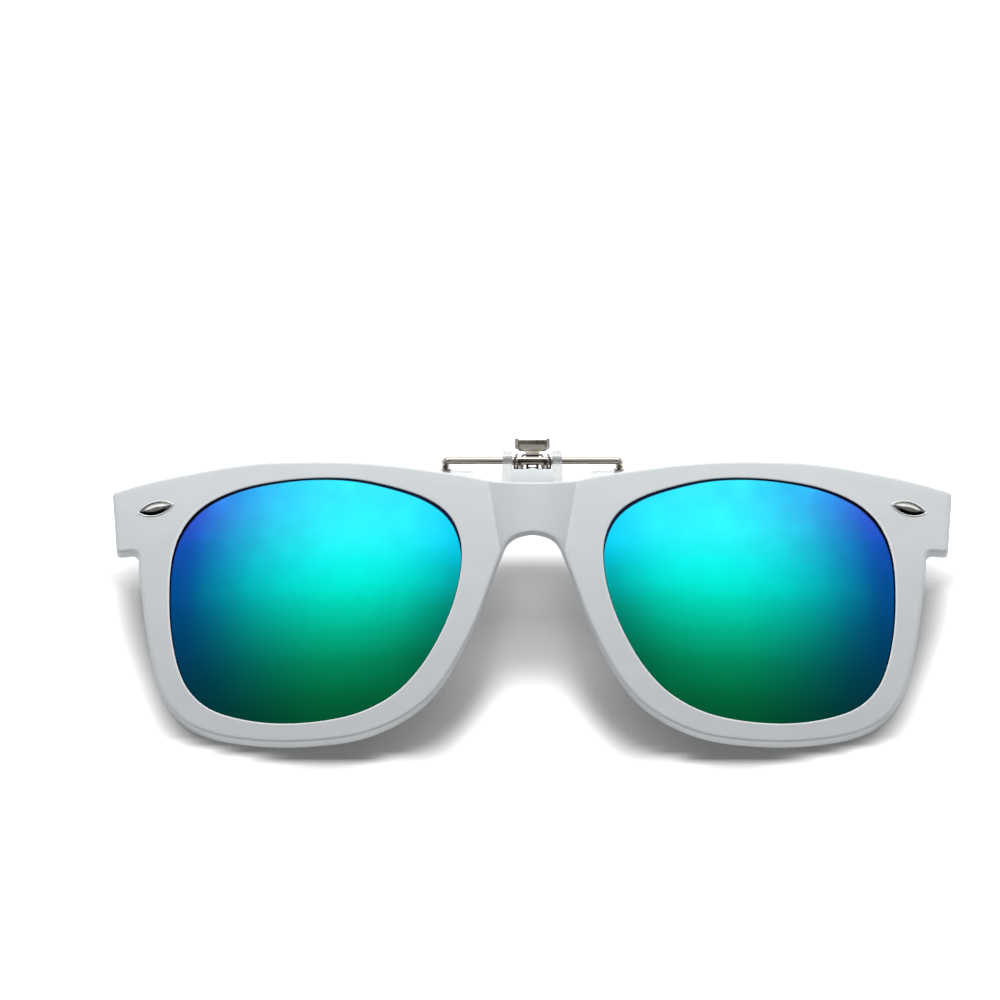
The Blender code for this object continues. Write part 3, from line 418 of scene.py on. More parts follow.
def clearFinish(name, slot, tint, rough, through, ior):
    # clear plastic with a faint haze
    finish, tree, shader = newFinish(name, slot)
    haze = noiseOver(tree, 900.0, 2.0)
    colour = ramped(tree, haze, [(0.3, tuple(c * 0.97 for c in tint)), (0.7, tint)]).outputs["Color"]
    tree.links.new(colour, shader.inputs["Base Color"])
    tree.links.new(spread(tree, haze, *rough), shader.inputs["Roughness"])
    setValues(shader, Transmission_Weight=through, IOR=ior)
    return finish


# the coating's ramps: partly its own gradient, partly painted reflection
coating = {
    "lean": 0.10, "narrow": 2.0,
    "across": [(0.0, 0.0), (0.10, 0.03), (0.28, 0.50), (0.48, 0.90), (0.64, 1.0), (0.80, 0.78),
               (0.92, 0.30), (1.0, 0.12)],
    "outer": [(0.02, (0.0, 0.028, 0.032)), (0.20, (0.0, 0.036, 0.075)), (0.40, (0.0, 0.052, 0.155)),
              (0.60, (0.001, 0.066, 0.280)), (0.76, (0.006, 0.066, 0.420)), (0.88, (0.030, 0.066, 0.580)),
              (0.98, (0.022, 0.100, 0.640))],
    "ridge": [(0.02, (0.0, 0.100, 0.032)), (0.10, (0.0, 0.138, 0.044)), (0.24, (0.0, 0.262, 0.110)),
              (0.36, (0.0, 0.460, 0.250)), (0.49, (0.0, 0.716, 0.507)), (0.57, (0.001, 0.888, 0.724)),
              (0.65, (0.005, 0.940, 0.880)), (0.78, (0.028, 0.930, 0.990)), (0.94, (0.036, 0.800, 1.000))],
    "nose": [(0.02, (0.0, 0.080, 0.025)), (0.25, (0.0, 0.095, 0.045)), (0.45, (0.0, 0.180, 0.140)),
             (0.60, (0.0, 0.320, 0.400)), (0.72, (0.0, 0.520, 0.860)), (0.86, (0.006, 0.570, 0.980)),
             (0.98, (0.016, 0.550, 0.980))],
    # painted shadow: colour and widths of the dark line inside the rim
    "rim": (0.008, 0.012, 0.045, 1.0),
    "rimWidth": 1.0 * mm, "rimThin": 0.14, "rimBrow": 0.62, "rimEase": 0.8, "rimMiddle": 0.25,
}
frameWhite = mouldedWhite()
lensMirror = mirrorCoatWithPaintedReflection(coating)
lensBack = smokedBack()
polishedSteel = metalFinish("polishedWire", "polished_steel", (0.27, 0.25, 0.215), (0.36, 0.335, 0.30),
                            (0.07, 0.12), (0.15, 1.0, 1.0))
rivetSteel = metalFinish("inlaySteel", "polished_steel", (0.62, 0.62, 0.61), (0.72, 0.72, 0.71),
                         (0.12, 0.18), (0.3, 1.0, 1.0))
# painted reflection: a darker copy of the inlay steel for the dome, standing for the dark surroundings it
# mirrors
domePaintedShadeSteel = metalFinish("inlayDomePaintedShade", "polished_steel", (0.10, 0.10, 0.096), (0.15, 0.15, 0.145),
                        (0.10, 0.16), (0.3, 1.0, 1.0), scratch=0.02)
brushedNickel = metalFinish("stampedNickel", "brushed_nickel", (0.050, 0.044, 0.036), (0.125, 0.113, 0.095),
                            (0.20, 0.30), (1.0, 0.12, 1.0), scratch=0.08)
screwSteel = metalFinish("turnedSteel", "screw_steel", (0.34, 0.34, 0.34), (0.46, 0.46, 0.46),
                         (0.22, 0.32), (1.0, 1.0, 1.0))
springSteel = metalFinish("darkSpring", "spring_steel", (0.10, 0.095, 0.09), (0.17, 0.16, 0.15),
                          (0.24, 0.34), (1.0, 1.0, 0.3))
clearPlastic = clearFinish("clearBlock", "clear_plastic", (0.66, 0.675, 0.68), (0.10, 0.16), 0.7, 1.49)
softClear = clearFinish("softPad", "soft_clear", (0.90, 0.905, 0.90), (0.16, 0.24), 0.7, 1.41)
print("finishes made")


# The moulded front

lens = {
    "width": 50.3 * mm, "height": 43.5 * mm, "gap": 24.4 * mm,
    "thickness": 1.0 * mm, "curveRadius": 185.0 * mm, "setback": 0.45 * mm,
    "steps": 168, "edgeRings": (-0.4, 0.0, 0.25, 0.5, 0.8, 1.2, 1.8),
    "innerRings": (0.84, 0.74, 0.63, 0.52, 0.41, 0.3, 0.2, 0.1),
    "shares": [
        (0.106, 1.000), (0.444, 0.963), (0.679, 0.880), (0.834, 0.760), (0.937, 0.586),
        (0.989, 0.356), (1.000, 0.071), (0.985, -0.214), (0.937, -0.490), (0.856, -0.692),
        (0.711, -0.849), (0.484, -0.950), (0.217, -1.000), (-0.081, -0.991), (-0.335, -0.927),
        (-0.554, -0.789), (-0.721, -0.587), (-0.852, -0.334), (-0.948, -0.058), (-0.997, 0.218),
        (-0.991, 0.452), (-0.916, 0.650), (-0.761, 0.793), (-0.518, 0.903), (-0.232, 0.981),
    ],
}
lensHalf = Vector((lens["width"], lens["height"])) / 2
lensX = (lens["gap"] + lens["width"]) / 2

front = {
    "wrapRadius": 200.0 * mm, "crownRadius": 300.0 * mm, "thickness": 4.0 * mm,
    "topRim": 3.4 * mm, "bottomRim": 3.35 * mm, "outerRim": 4.6 * mm, "noseRim": 5.4 * mm,
    "endReach": 10.0 * mm, "endHeight": 11.0 * mm, "endDrop": 3.15 * mm,
    "endCorner": 0.8 * mm, "endFillet": 1.3 * mm, "endTaper": 0.989,
    "bridgeDrop": 5.1 * mm, "bridgeLift": 0.4 * mm, "bridgeDepth": 8.6 * mm,
    "archRise": 3.1 * mm, "archReach": 1.063, "blockPocket": 0.6 * mm, "seat": 0.3 * mm,
    "edgeRound": 0.45 * mm, "lipRound": 0.2 * mm, "grooveDepth": 0.7 * mm, "grooveGap": 0.1 * mm,
    "endMeets": (0.507, 0.437, 0.298, 0.065), "bridgeMeets": (0.54, 0.07), "rimMeets": (1.03, 0.84),
    "cells": 22, "calming": 24, "evenness": 0.2,
    "browInner": [
        (0.102, 1.000), (0.137, 0.875), (0.172, 0.763), (0.221, 0.633), (0.268, 0.510),
        (0.316, 0.382), (0.364, 0.278), (0.459, 0.118), (0.552, 0.039),
    ],
    "browOuter": [
        (0.634, 0.000), (0.717, 0.079), (0.793, 0.248), (0.855, 0.413), (0.910, 0.587), (0.960, 0.794),
    ],
    "rim": [
        (1.025, 0.713), (1.007, 0.295), (0.978, -0.161), (0.926, -0.452), (0.897, -0.596),
        (0.822, -0.745), (0.724, -0.845), (0.612, -0.908), (0.386, -0.970), (0.183, -1.000),
        (-0.021, -1.000), (-0.275, -0.972), (-0.524, -0.843), (-0.666, -0.707), (-0.745, -0.568),
        (-0.813, -0.428), (-0.869, -0.287), (-0.926, -0.145), (-0.959, -0.003), (-1.001, 0.412),
        (-1.045, 0.835),
    ],
}
scoop = {
    "topWidth": 15.3 * mm, "archWidth": 12.5 * mm, "topDepth": 1.35 * mm, "archDepth": 1.6 * mm,
    "bowl": 2.4, "crease": 0.14 * mm,
}
tongue = {
    "rise": 2.8 * mm, "topWidth": 6.9 * mm, "baseWidth": 7.6 * mm, "behind": 0.15 * mm,
    "bump": 0.35 * mm, "bumpWidth": 0.55 * mm, "rounding": 0.4 * mm,
}
halfFront = lens["gap"] / 2 + lens["width"] + front["endReach"]
browTop = lensHalf.y + front["topRim"]
bridgeTop = browTop - front["bridgeDrop"]
archTop = bridgeTop - front["bridgeDepth"]
pocketZ = -(front["thickness"] - front["blockPocket"])


def wrapSag(x):
    return front["wrapRadius"] - math.sqrt(front["wrapRadius"] ** 2 - x ** 2)


def crownSag(y):
    return front["crownRadius"] - math.sqrt(front["crownRadius"] ** 2 - y ** 2)


def faceZ(x, y):
    return -wrapSag(x) - crownSag(y)


def lensZ(x, y, depth=0.0):
    tilt = math.asin(lensX / front["wrapRadius"])
    centreX = lensX - lens["curveRadius"] * math.sin(tilt)
    centreZ = -wrapSag(lensX) - lens["setback"] - lens["curveRadius"] * math.cos(tilt)
    return centreZ + math.sqrt((lens["curveRadius"] - depth) ** 2 - (x - centreX) ** 2) - crownSag(y)


def calmed(line, passes):
    # small kinks taken out of an open line, its ends kept
    for i in range(passes):
        line = line[:1] + [(a + b * 2 + c) / 4 for a, b, c in zip(line, line[1:], line[2:])] + line[-1:]
    return line


def lensLine(steps):
    points = [Vector((lensHalf.x * x, lensHalf.y * y)) for x, y in lens["shares"]]
    return smoothLine(points, steps, closed=True)[:-1]


def outwards(line):
    # the outward direction at each point of a clockwise closed line
    count = len(line)
    ways = []
    for i in range(count):
        ahead = line[(i + 1) % count] - line[i - 1]
        ways.append(Vector((-ahead.y, ahead.x)).normalized())
    return ways


fineLens = lensLine(1440)
fineWays = outwards(fineLens)


def turnAt(height, side):
    points = [p for p in fineLens if p.x * side > 0]
    nearest = min(points, key=lambda p: abs(p.y - height))
    return math.atan2(nearest.y, nearest.x)


def openingAt(turns):
    # where the lens opening lies at these turns round its centre
    angles = [math.atan2(p.y, p.x) for p in fineLens]
    for i in range(1, len(angles)):
        while angles[i] > angles[i - 1]:
            angles[i] -= math.tau
    points, ways = [], []
    for turn in turns:
        while turn > angles[0]:
            turn -= math.tau
        while turn < angles[0] - math.tau:
            turn += math.tau
        at = max(i for i, angle in enumerate(angles) if angle >= turn)
        after = (at + 1) % len(angles)
        span = angles[at] - (angles[after] if after else angles[0] - math.tau)
        share = (angles[at] - turn) / span
        points.append(Vector((lensX, 0.0)) + fineLens[at].lerp(fineLens[after], share))
        ways.append(fineWays[at].lerp(fineWays[after], share).normalized())
    return points, ways


def cornerLine(before, corner, after, radius, steps):
    flat = [Vector((*p, 0.0)) for p in (before, corner, after)]
    return [Vector(p[:2]) for p in roundCorners(flat, [radius], steps)[1:-1]]


def frontLine():
    # the right half's outline, clockwise from the bridge's top, and the turn of each point's section
    bridgeEdge = bridgeTop + front["bridgeLift"]
    brow = [Vector((halfFront * x, browTop + (bridgeEdge - browTop) * y)) for x, y in front["browInner"]]
    brow += [Vector((halfFront * x, browTop - front["endDrop"] * y)) for x, y in front["browOuter"]]
    upper = Vector((halfFront, browTop - front["endDrop"]))
    lower = Vector((halfFront * front["endTaper"], upper.y - front["endHeight"]))
    archX = lensX - front["archReach"] * (lensHalf.x + front["noseRim"])
    archY = archTop - front["archRise"]
    rims = []
    for x, y in front["rim"]:
        reachX = lensHalf.x + (front["outerRim"] if x > 0 else front["noseRim"])
        reachY = lensHalf.y + front["bottomRim"]
        if y > 0:
            reachY = lower.y if x > 0 else archY
        rims.append(Vector((lensX + x * reachX, y * reachY)))
    rims.append(Vector((archX, archY)))
    inner, rimTop = Vector((rims[0].x, lower.y)), rims[0].y
    quarter = [math.pi / 2 * i / 16 for i in range(1, 16)]
    arch = [Vector((archX * math.cos(a), archY + front["archRise"] * math.sin(a))) for a in quarter]
    arch += [Vector((-mm * i / 2, archTop)) for i in range(3)]
    rise = [Vector((-mm, archTop + (bridgeEdge - archTop) * i / 26)) for i in range(2, 25)]
    rims = smoothLine(rims, 120)
    joined = calmed(rims + arch, front["calming"])
    rims, arch = joined[:len(rims)], joined[len(rims):]
    ends = [turnAt(lower.y + share * (lensHalf.y - lower.y), 1.0) for share in front["endMeets"]]
    ends.append(turnAt(rimTop * front["rimMeets"][0], 1.0))
    ends.append(turnAt(archY * front["rimMeets"][1], -1.0) - math.tau)
    above, over = [turnAt(archTop + share * (lensHalf.y - archTop), -1.0) for share in front["bridgeMeets"]]
    ends += [over - math.tau, above - math.tau + 0.02]
    start = [Vector((brow[0].x * i / 12, bridgeEdge)) for i in range(0, 12)]
    stretches = [
        start + smoothLine(brow, 66),
        cornerLine(brow[-1], upper, lower, front["endCorner"], 6),
        [upper.lerp(lower, share) for share in (0.2, 0.35, 0.5, 0.65, 0.8)],
        cornerLine(upper, lower, inner, front["endCorner"], 6),
        cornerLine(lower, inner, rims[0], front["endFillet"], 7),
        rims,
        arch,
        rise,
    ]
    line, turns = [Vector((-mm, bridgeEdge))], [above]
    centre = Vector((lensX, 0.0))
    for points, end in zip(stretches, ends):
        weights, total = [], 0.0
        for a, b in zip([line[-1]] + points, points):
            total += (a - centre).angle(b - centre) + front["evenness"] * (b - a).length / lens["width"]
            weights.append(total)
        begin = turns[-1]
        line += points
        turns += [begin + (end - begin) * w / total for w in weights]
    return line, turns


def scoopReach(y):
    share = (y - archTop) / front["bridgeDepth"]
    return (scoop["archWidth"] + (scoop["topWidth"] - scoop["archWidth"]) * share) / 2


def scoopShift(x, y):
    # how far the bridge's face sinks into its valley, between two creases that close in towards the arch
    share = (y - archTop) / front["bridgeDepth"]
    reach = scoopReach(y)
    depth = scoop["archDepth"] + (scoop["topDepth"] - scoop["archDepth"]) * share
    return -depth * max(1.0 - abs(x / reach) ** scoop["bowl"], 0.0)


def seatDepth(x, y, isUpper):
    # how far under the front's face a wall of the lens groove lies
    if isUpper:
        return faceZ(x, y) - lensZ(x, y) - front["grooveGap"]
    return faceZ(x, y) - lensZ(x, y, lens["thickness"]) + front["grooveGap"]


def spotOf(place, count=2):
    return tuple(round(c, 7) for c in place[:count])


def frontHalf():
    outline, turns = frontLine()
    opening, ways = openingAt(turns)
    bm = bmesh.new()
    ring = startRing(bm, [(p.x, p.y, 0.0) for p in opening])
    growRow(bm, ring, [(p.x, p.y, 0.0) for p in outline])
    wayOf = {spotOf(p): way for p, way in zip(opening, ways)}
    fresh = vertsOf(bmesh.ops.extrude_face_region(bm, geom=bm.faces[:]))
    bmesh.ops.translate(bm, vec=(0.0, 0.0, -front["thickness"]), verts=fresh)
    bmesh.ops.recalc_face_normals(bm, faces=bm.faces)
    atOpening = {spotOf(v.co) for v in ring}
    lips, rims, walls = [], [], []
    for e in bm.edges:
        a, b = e.verts
        inside = [spotOf(v.co) in atOpening for v in (a, b)]
        if abs(a.co.z - b.co.z) > mm:
            if all(inside):
                walls.append(e)
        elif all(inside):
            lips.append(e)
        elif not any(inside):
            rims.append(e)
    # the lens groove: two cuts round the opening's wall, and the band between them pushed outwards
    made = bmesh.ops.subdivide_edges(bm, edges=walls, cuts=2)["geom_inner"]
    cuts = {g for g in made if isinstance(g, bmesh.types.BMVert)}
    upperCut = {v for v in cuts if v.co.z > -front["thickness"] / 2}
    for v in cuts:
        v.co.z = -seatDepth(v.co.x, v.co.y, v in upperCut)
    band = [f for f in bm.faces if all(v in cuts for v in f.verts)]
    upperPlaces = {spotOf(v.co, 3) for v in upperCut}
    deeper = vertsOf(bmesh.ops.extrude_face_region(bm, geom=band))
    bmesh.ops.delete(bm, geom=band, context="FACES")
    for v in deeper:
        isUpper = spotOf(v.co, 3) in upperPlaces
        nearest = min(wayOf, key=lambda k: (k[0] - v.co.x) ** 2 + (k[1] - v.co.y) ** 2)
        way = wayOf[nearest]
        v.co.x += way.x * front["grooveDepth"]
        v.co.y += way.y * front["grooveDepth"]
        v.co.z = -seatDepth(v.co.x, v.co.y, isUpper)
    roundEdges(bm, rims, front["edgeRound"], 4, clamp_overlap=False)
    roundEdges(bm, lips, front["lipRound"], 3, clamp_overlap=False)
    bm.normal_update()
    rungs = [e for e in bm.edges if len(e.link_faces) == 2
             and all(abs(f.normal.z) > 0.999 for f in e.link_faces) and e.calc_length() > mm]
    bmesh.ops.subdivide_edges(bm, edges=rungs, cuts=front["cells"] - 1, use_grid_fill=True)
    # an edge along the crease and one just inside it
    leanX = (scoop["topWidth"] - scoop["archWidth"]) / 2 / front["bridgeDepth"]
    for inside in (0.0, scoop["crease"]):
        bridge = []
        for f in bm.faces:
            middle = f.calc_center_median()
            if middle.y > archTop - 4 * mm and 0 < middle.x < 10 * mm:
                bridge.append(f)
        cut = {v for f in bridge for v in f.verts} | {e for f in bridge for e in f.edges} | set(bridge)
        bmesh.ops.bisect_plane(bm, geom=list(cut), dist=0.0001 * mm, plane_no=(1.0, -leanX, 0.0),
                               plane_co=(scoopReach(archTop) - inside, archTop, 0.0))
    # marks for painted light: painted shade on the valley's sides, near-black painted shade on the lens
    # seat's wall, and a painted highlight on the opening's lip
    paintedValleyShade, seat, lip = [bm.verts.layers.float.new(name) for name in ("paintedValleyShade", "paintedSeatShade", "paintedLipHighlight")]
    for v in bm.verts:
        x, y, depth = v.co.x, v.co.y, -v.co.z
        v.co.z = faceZ(x, y) - depth
        if depth < front["edgeRound"] + 0.05 * mm and abs(x) < 12 * mm:
            v.co.z += scoopShift(x, y)
            # painted shade: the valley's sides are darkened, most near the creases
            if abs(x) < scoopReach(y) - scoop["crease"] / 2 and depth < 0.01 * mm:
                v[paintedValleyShade] = 0.2 + 0.8 * abs(x / scoopReach(y)) ** 1.5
        # painted shade: the opening's wall and the lens groove are painted near black
        if spotOf(v.co) in wayOf and depth > front["lipRound"] * 0.9:
            v[seat] = 1.0
        # painted highlight: the lip round the opening is painted lighter, most on its outer and lower sides
        elif depth < front["lipRound"] * 0.6:
            gaps = [math.hypot(p.x - x, p.y - y) for p in opening]
            near = gaps.index(min(gaps))
            if gaps[near] < front["lipRound"] * 1.05:
                v[lip] = min(0.2 + 0.8 * max(ways[near].x, -ways[near].y, 0.0), 1.0)
    bmesh.ops.bisect_plane(bm, geom=bm.verts[:] + bm.edges[:] + bm.faces[:], dist=0.0001 * mm,
                           plane_co=(0.0, 0.0, 0.0), plane_no=(1.0, 0.0, 0.0), clear_inner=True)
    bmesh.ops.mirror(bm, geom=bm.verts[:] + bm.edges[:] + bm.faces[:], matrix=Matrix(), axis="X",
                     merge_dist=0.001 * mm)
    return meshOf("frontMoulding", bm)


def tongueMesh():
    # the tongue between the hinge posts, with a low bump in the middle of its top
    bm = bmesh.new()
    bmesh.ops.create_cube(bm, size=1.0)
    for v in bm.verts:
        top = v.co.y > 0
        width = tongue["topWidth"] if top else tongue["baseWidth"]
        v.co.x = width / 2 if v.co.x > 0 else -width / 2
        v.co.z = 0.0 if v.co.z > 0 else pocketZ + front["seat"] / 2
        v.co.y = bridgeTop + tongue["rise"] if top else bridgeTop - front["edgeRound"] * 2
    long = [e for e in bm.edges if abs(e.verts[0].co.x - e.verts[1].co.x) > mm]
    bmesh.ops.subdivide_edges(bm, edges=long, cuts=15, use_grid_fill=True)
    for v in bm.verts:
        if v.co.z > pocketZ / 2:
            sunk = scoopShift(v.co.x, bridgeTop - front["edgeRound"] * 2)
            v.co.z = faceZ(v.co.x, v.co.y) + sunk - tongue["behind"]
        if v.co.y > bridgeTop + mm:
            v.co.y += tongue["bump"] * math.exp(-(v.co.x / tongue["bumpWidth"]) ** 2)
    bm.normal_update()
    rims = [e for e in bm.edges if len(e.link_faces) == 2 and e.calc_face_angle() > 1.0
            and all(v.co.y > bridgeTop for v in e.verts)]
    roundEdges(bm, rims, tongue["rounding"], 3)
    return meshOf("tongue", bm)


# Almond inlays

inlay = {
    "length": 6.6 * mm, "width": 2.6 * mm, "inset": 7.6 * mm, "drop": 3.75 * mm,
    "turn": math.radians(6.5), "points": 64, "pointed": 0.5, "rimLayers": 10,
    "layers": [
        (0.90, -0.70), (0.93, -0.62), (0.94, 0.0), (1.00, 0.02), (1.015, 0.06), (1.01, 0.11), (0.985, 0.15),
        (0.955, 0.16), (0.925, 0.145), (0.895, 0.10), (0.875, 0.06), (0.85, 0.07), (0.80, 0.13),
        (0.70, 0.20), (0.58, 0.26), (0.44, 0.31), (0.28, 0.345), (0.12, 0.36),
    ],
}


def almondPlaces(share, height, place):
    a, b = inlay["length"] / 2, inlay["width"] / 2
    radius = (a * a + b * b) / (2 * b)
    sweep = math.asin(a / radius)
    steps = inlay["points"] // 4
    places = []
    for sign in (1, -1):
        for i in range(steps * 2):
            angle = sweep * (1 - i / steps)
            x, y = radius * math.sin(angle), radius * math.cos(angle) - (radius - b)
            places.append(place @ Vector((sign * x * share ** inlay["pointed"], sign * y * share, height)))
    return places


def inlayPlace(side):
    x, y = halfFront - inlay["inset"], browTop - front["endDrop"] - inlay["drop"]
    out = Vector((x / math.sqrt(front["wrapRadius"] ** 2 - x ** 2),
                  y / math.sqrt(front["crownRadius"] ** 2 - y ** 2), 1.0)).normalized()
    along = Vector((math.cos(inlay["turn"]), -math.sin(inlay["turn"]), 0.0))
    along = (along - out * along.dot(out)).normalized()
    place = Matrix((along, out.cross(along), out)).transposed().to_4x4()
    place.translation = Vector((x, y, faceZ(x, y)))
    return Matrix.Diagonal((side, 1.0, 1.0, 1.0)) @ place


def almondMesh(name, layers, place, domeFrom=None):
    bm = bmesh.new()
    ring = startRing(bm, almondPlaces(*layers[0], place))
    bm.faces.new(ring)
    for i, (share, height) in enumerate(layers[1:]):
        ring = growRow(bm, ring, almondPlaces(share, height, place))
        if i == domeFrom:
            rimFaces = len(bm.faces)
    bm.faces.new(ring)
    if domeFrom is not None:
        bm.faces.ensure_lookup_table()
        # the dome's faces take the second finish, the painted-dark copy of the steel
        for f in bm.faces[rimFaces:]:
            f.material_index = 1
    return meshOf(name, bm)


def makeInlays():
    layers = [(share, height * mm) for share, height in inlay["layers"]]
    for side, word in hands:
        name = f"almondInlay{word}"
        mesh = almondMesh(name, layers, inlayPlace(side), domeFrom=inlay["rimLayers"])
        addPiece(name, mesh, [rivetSteel, domePaintedShadeSteel], "front", f"rivet_{word.lower()}", angle=60.0)


# The mirror lenses

def makeLens(side, word):
    outline = lensLine(lens["steps"])
    ways = outwards(outline)
    bm = bmesh.new()
    uv = bm.loops.layers.uv.new("lensPlace")
    shade = bm.verts.layers.float.new("paintedRimShadow")
    flat = [[p - n * inward * mm for p, n in zip(outline, ways)] for inward in lens["edgeRings"]]
    flat += [[p * share for p in outline] for share in lens["innerRings"]]
    ring = None
    for line in flat:
        places = [(side * (lensX + p.x), p.y, lensZ(lensX + p.x, p.y)) for p in line]
        ring = growRow(bm, ring, places) if ring else startRing(bm, places)
    last = growRow(bm, ring, [(side * lensX, 0.0, lensZ(lensX, 0.0))] * len(ring))
    bmesh.ops.remove_doubles(bm, verts=last, dist=0.001 * mm)
    # painted shadow and reflection: a dark line inside the rim, standing for the groove wall's shade and its
    # image in the coating, widest under the brow's ends
    for v in bm.verts:
        at = Vector((side * v.co.x - lensX, v.co.y))
        near = min(range(len(outline)), key=lambda k: (outline[k] - at).length_squared)
        way = ways[near]
        brow = max(0.0, way.y) ** coating["rimEase"] * (coating["rimMiddle"] + abs(way.x))
        wide = coating["rimWidth"] * (coating["rimThin"] + coating["rimBrow"] * brow)
        v[shade] = (outline[near] - at).dot(way) / wide
    for f in bm.faces:
        for loop in f.loops:
            x, y = side * loop.vert.co.x - lensX, loop.vert.co.y
            loop[uv].uv = (0.5 - x / lens["width"], 0.5 + y / lens["height"])
    bmesh.ops.recalc_face_normals(bm, faces=bm.faces)
    if sum(f.normal.z for f in bm.faces) < 0:
        bmesh.ops.reverse_faces(bm, faces=bm.faces)
    mesh = meshOf(f"mirrorLens{word}", bm, closed=False)
    piece = addPiece(f"mirrorLens{word}", mesh, [lensMirror, lensBack], "front", f"lens_{word.lower()}")
    wall = piece.modifiers.new("thickness", "SOLIDIFY")
    wall.thickness = lens["thickness"]
    wall.offset = -1.0
    wall.material_offset = 1
    wall.material_offset_rim = 1
    edge = piece.modifiers.new("edge", "BEVEL")
    edge.width = 0.08 * mm
    edge.segments = 2


# The clear hinge block and its screws

block = {
    "plate": 1.6 * mm, "height": 7.4 * mm, "plateRound": 0.25 * mm, "sunk": 0.3 * mm,
    "postWidth": 1.65 * mm, "postRound": 1.75 * mm, "postGap": 6.8 * mm,
    "heel": 2.5 * mm, "rounding": 0.22 * mm, "splay": 0.26 * mm,
    "wireRise": 5.25 * mm, "wireDepth": 5.85 * mm, "threadPitch": 0.2 * mm,
    "screwSpread": 4.4 * mm, "screwDrop": 3.7 * mm, "screwRadius": 0.45 * mm, "screwReach": 1.3 * mm,
    "headRadius": 0.95 * mm, "headHeight": 0.5 * mm, "play": 0.15 * mm,
}
wireY = bridgeTop + block["wireRise"]
wireZ = -block["wireDepth"]
frontSeat = pocketZ - front["seat"]
backSeat = frontSeat - block["plate"]


def screwSpot(sign, z):
    return Vector((sign * block["screwSpread"] / 2, bridgeTop - block["screwDrop"], z))


def makeHingeBlock():
    side = block["postGap"] / 2 + block["postWidth"]
    low, top = bridgeTop - block["height"], bridgeTop - front["seat"]
    plate = softBlock("hingeBlock", (-side, low, backSeat), (side, top, frontSeat), block["plateRound"])
    # a post's side outline, its foot sunk in the plate
    foot, ahead, back = low + block["sunk"], frontSeat - block["sunk"], backSeat + block["plateRound"]
    radius = block["postRound"]
    outline = [(foot, ahead), (bridgeTop + 0.2 * mm, ahead), (bridgeTop + 0.8 * mm, wireZ + radius)]
    outline += arcPoints((wireY, wireZ), radius, math.pi / 2, -math.pi / 2, 24)
    outline += [(bridgeTop - 0.6 * mm, wireZ - radius), (bridgeTop - block["heel"], back), (foot, back)]
    steps = [bore(block["screwRadius"] + block["play"], screwSpot(sign, frontSeat + mm),
                  screwSpot(sign, backSeat - mm), sides=32) for sign in (-1, 1)]
    for sign in (-1, 1):
        ends = sorted((sign * block["postGap"] / 2, sign * (side + 0.02 * mm)))
        post = sidePlate("post", outline, *ends, rounding=block["rounding"])
        for v in post.vertices:
            if abs(v.co.x) > side - block["postWidth"] / 2:
                share = (wireY + radius - v.co.y) / (block["wireRise"] + radius)
                v.co.x += sign * block["splay"] * min(share, 1.0)
        steps.append(("UNION", post))
    past = side + mm
    steps.append(bore(clip["wireRadius"] + block["play"], (-past, wireY, wireZ), (past, wireY, wireZ), 48))
    addPiece("hingeBlock", joinShapes(plate, steps), [clearPlastic], "front", "hinge_bracket", angle=32.0)


def turnedMesh(name, profile, axis, steps=40):
    # a profile of (radius, height) spun once round the axis
    bm = bmesh.new()
    spots = [(r, 0.0, h) if axis == "Z" else (h, r, 0.0) for r, h in profile]
    verts = [bm.verts.new(spot) for spot in spots]
    edges = [bm.edges.new(pair) for pair in zip(verts, verts[1:])]
    bmesh.ops.spin(bm, geom=verts + edges, cent=(0.0, 0.0, 0.0), steps=steps, use_merge=True,
                   axis=(0.0, 0.0, 1.0) if axis == "Z" else (1.0, 0.0, 0.0), angle=math.tau)
    return meshOf(name, bm)


def makeScrews():
    # pan heads with a cross slot, driven from behind
    top = backSeat - 0.02 * mm
    tip = pocketZ + block["screwReach"]
    r, h, s = block["headRadius"], block["headHeight"], block["screwRadius"]
    for sign, word in hands:
        profile = [(0.0, top - h)] + [(r * math.sin(a), top - h * (0.45 + 0.55 * math.cos(a)))
                                      for a in (0.35, 0.65, 0.9, 1.15, 1.35)]
        profile += [(r, top - h * 0.4), (r, top - 0.05 * mm), (r * 0.96, top), (s, top)]
        at = top
        while at < tip - s * 1.5:
            profile += [(s, at + 0.06 * mm), (s * 0.82, at + 0.14 * mm)]
            at += block["threadPitch"]
        profile += [(s * 0.8, tip - s), (0.0, tip)]
        slots = []
        for wide, tall in ((0.55 * mm, 0.1 * mm), (0.1 * mm, 0.55 * mm)):
            slot = softBlock("slot", (-wide, -tall, top - h - mm), (wide, tall, top - h * 0.55))
            slots.append(("DIFFERENCE", slot))
        name = f"blockScrew{word}"
        mesh = joinShapes(turnedMesh(name, profile, "Z"), slots)
        mesh.transform(Matrix.Translation(screwSpot(sign, 0.0)))
        addPiece(name, mesh, [screwSteel], "front", f"bracket_screw_{word.lower()}", angle=40.0)


# The clip: hinge wire, front pads, saddle, pin and spring

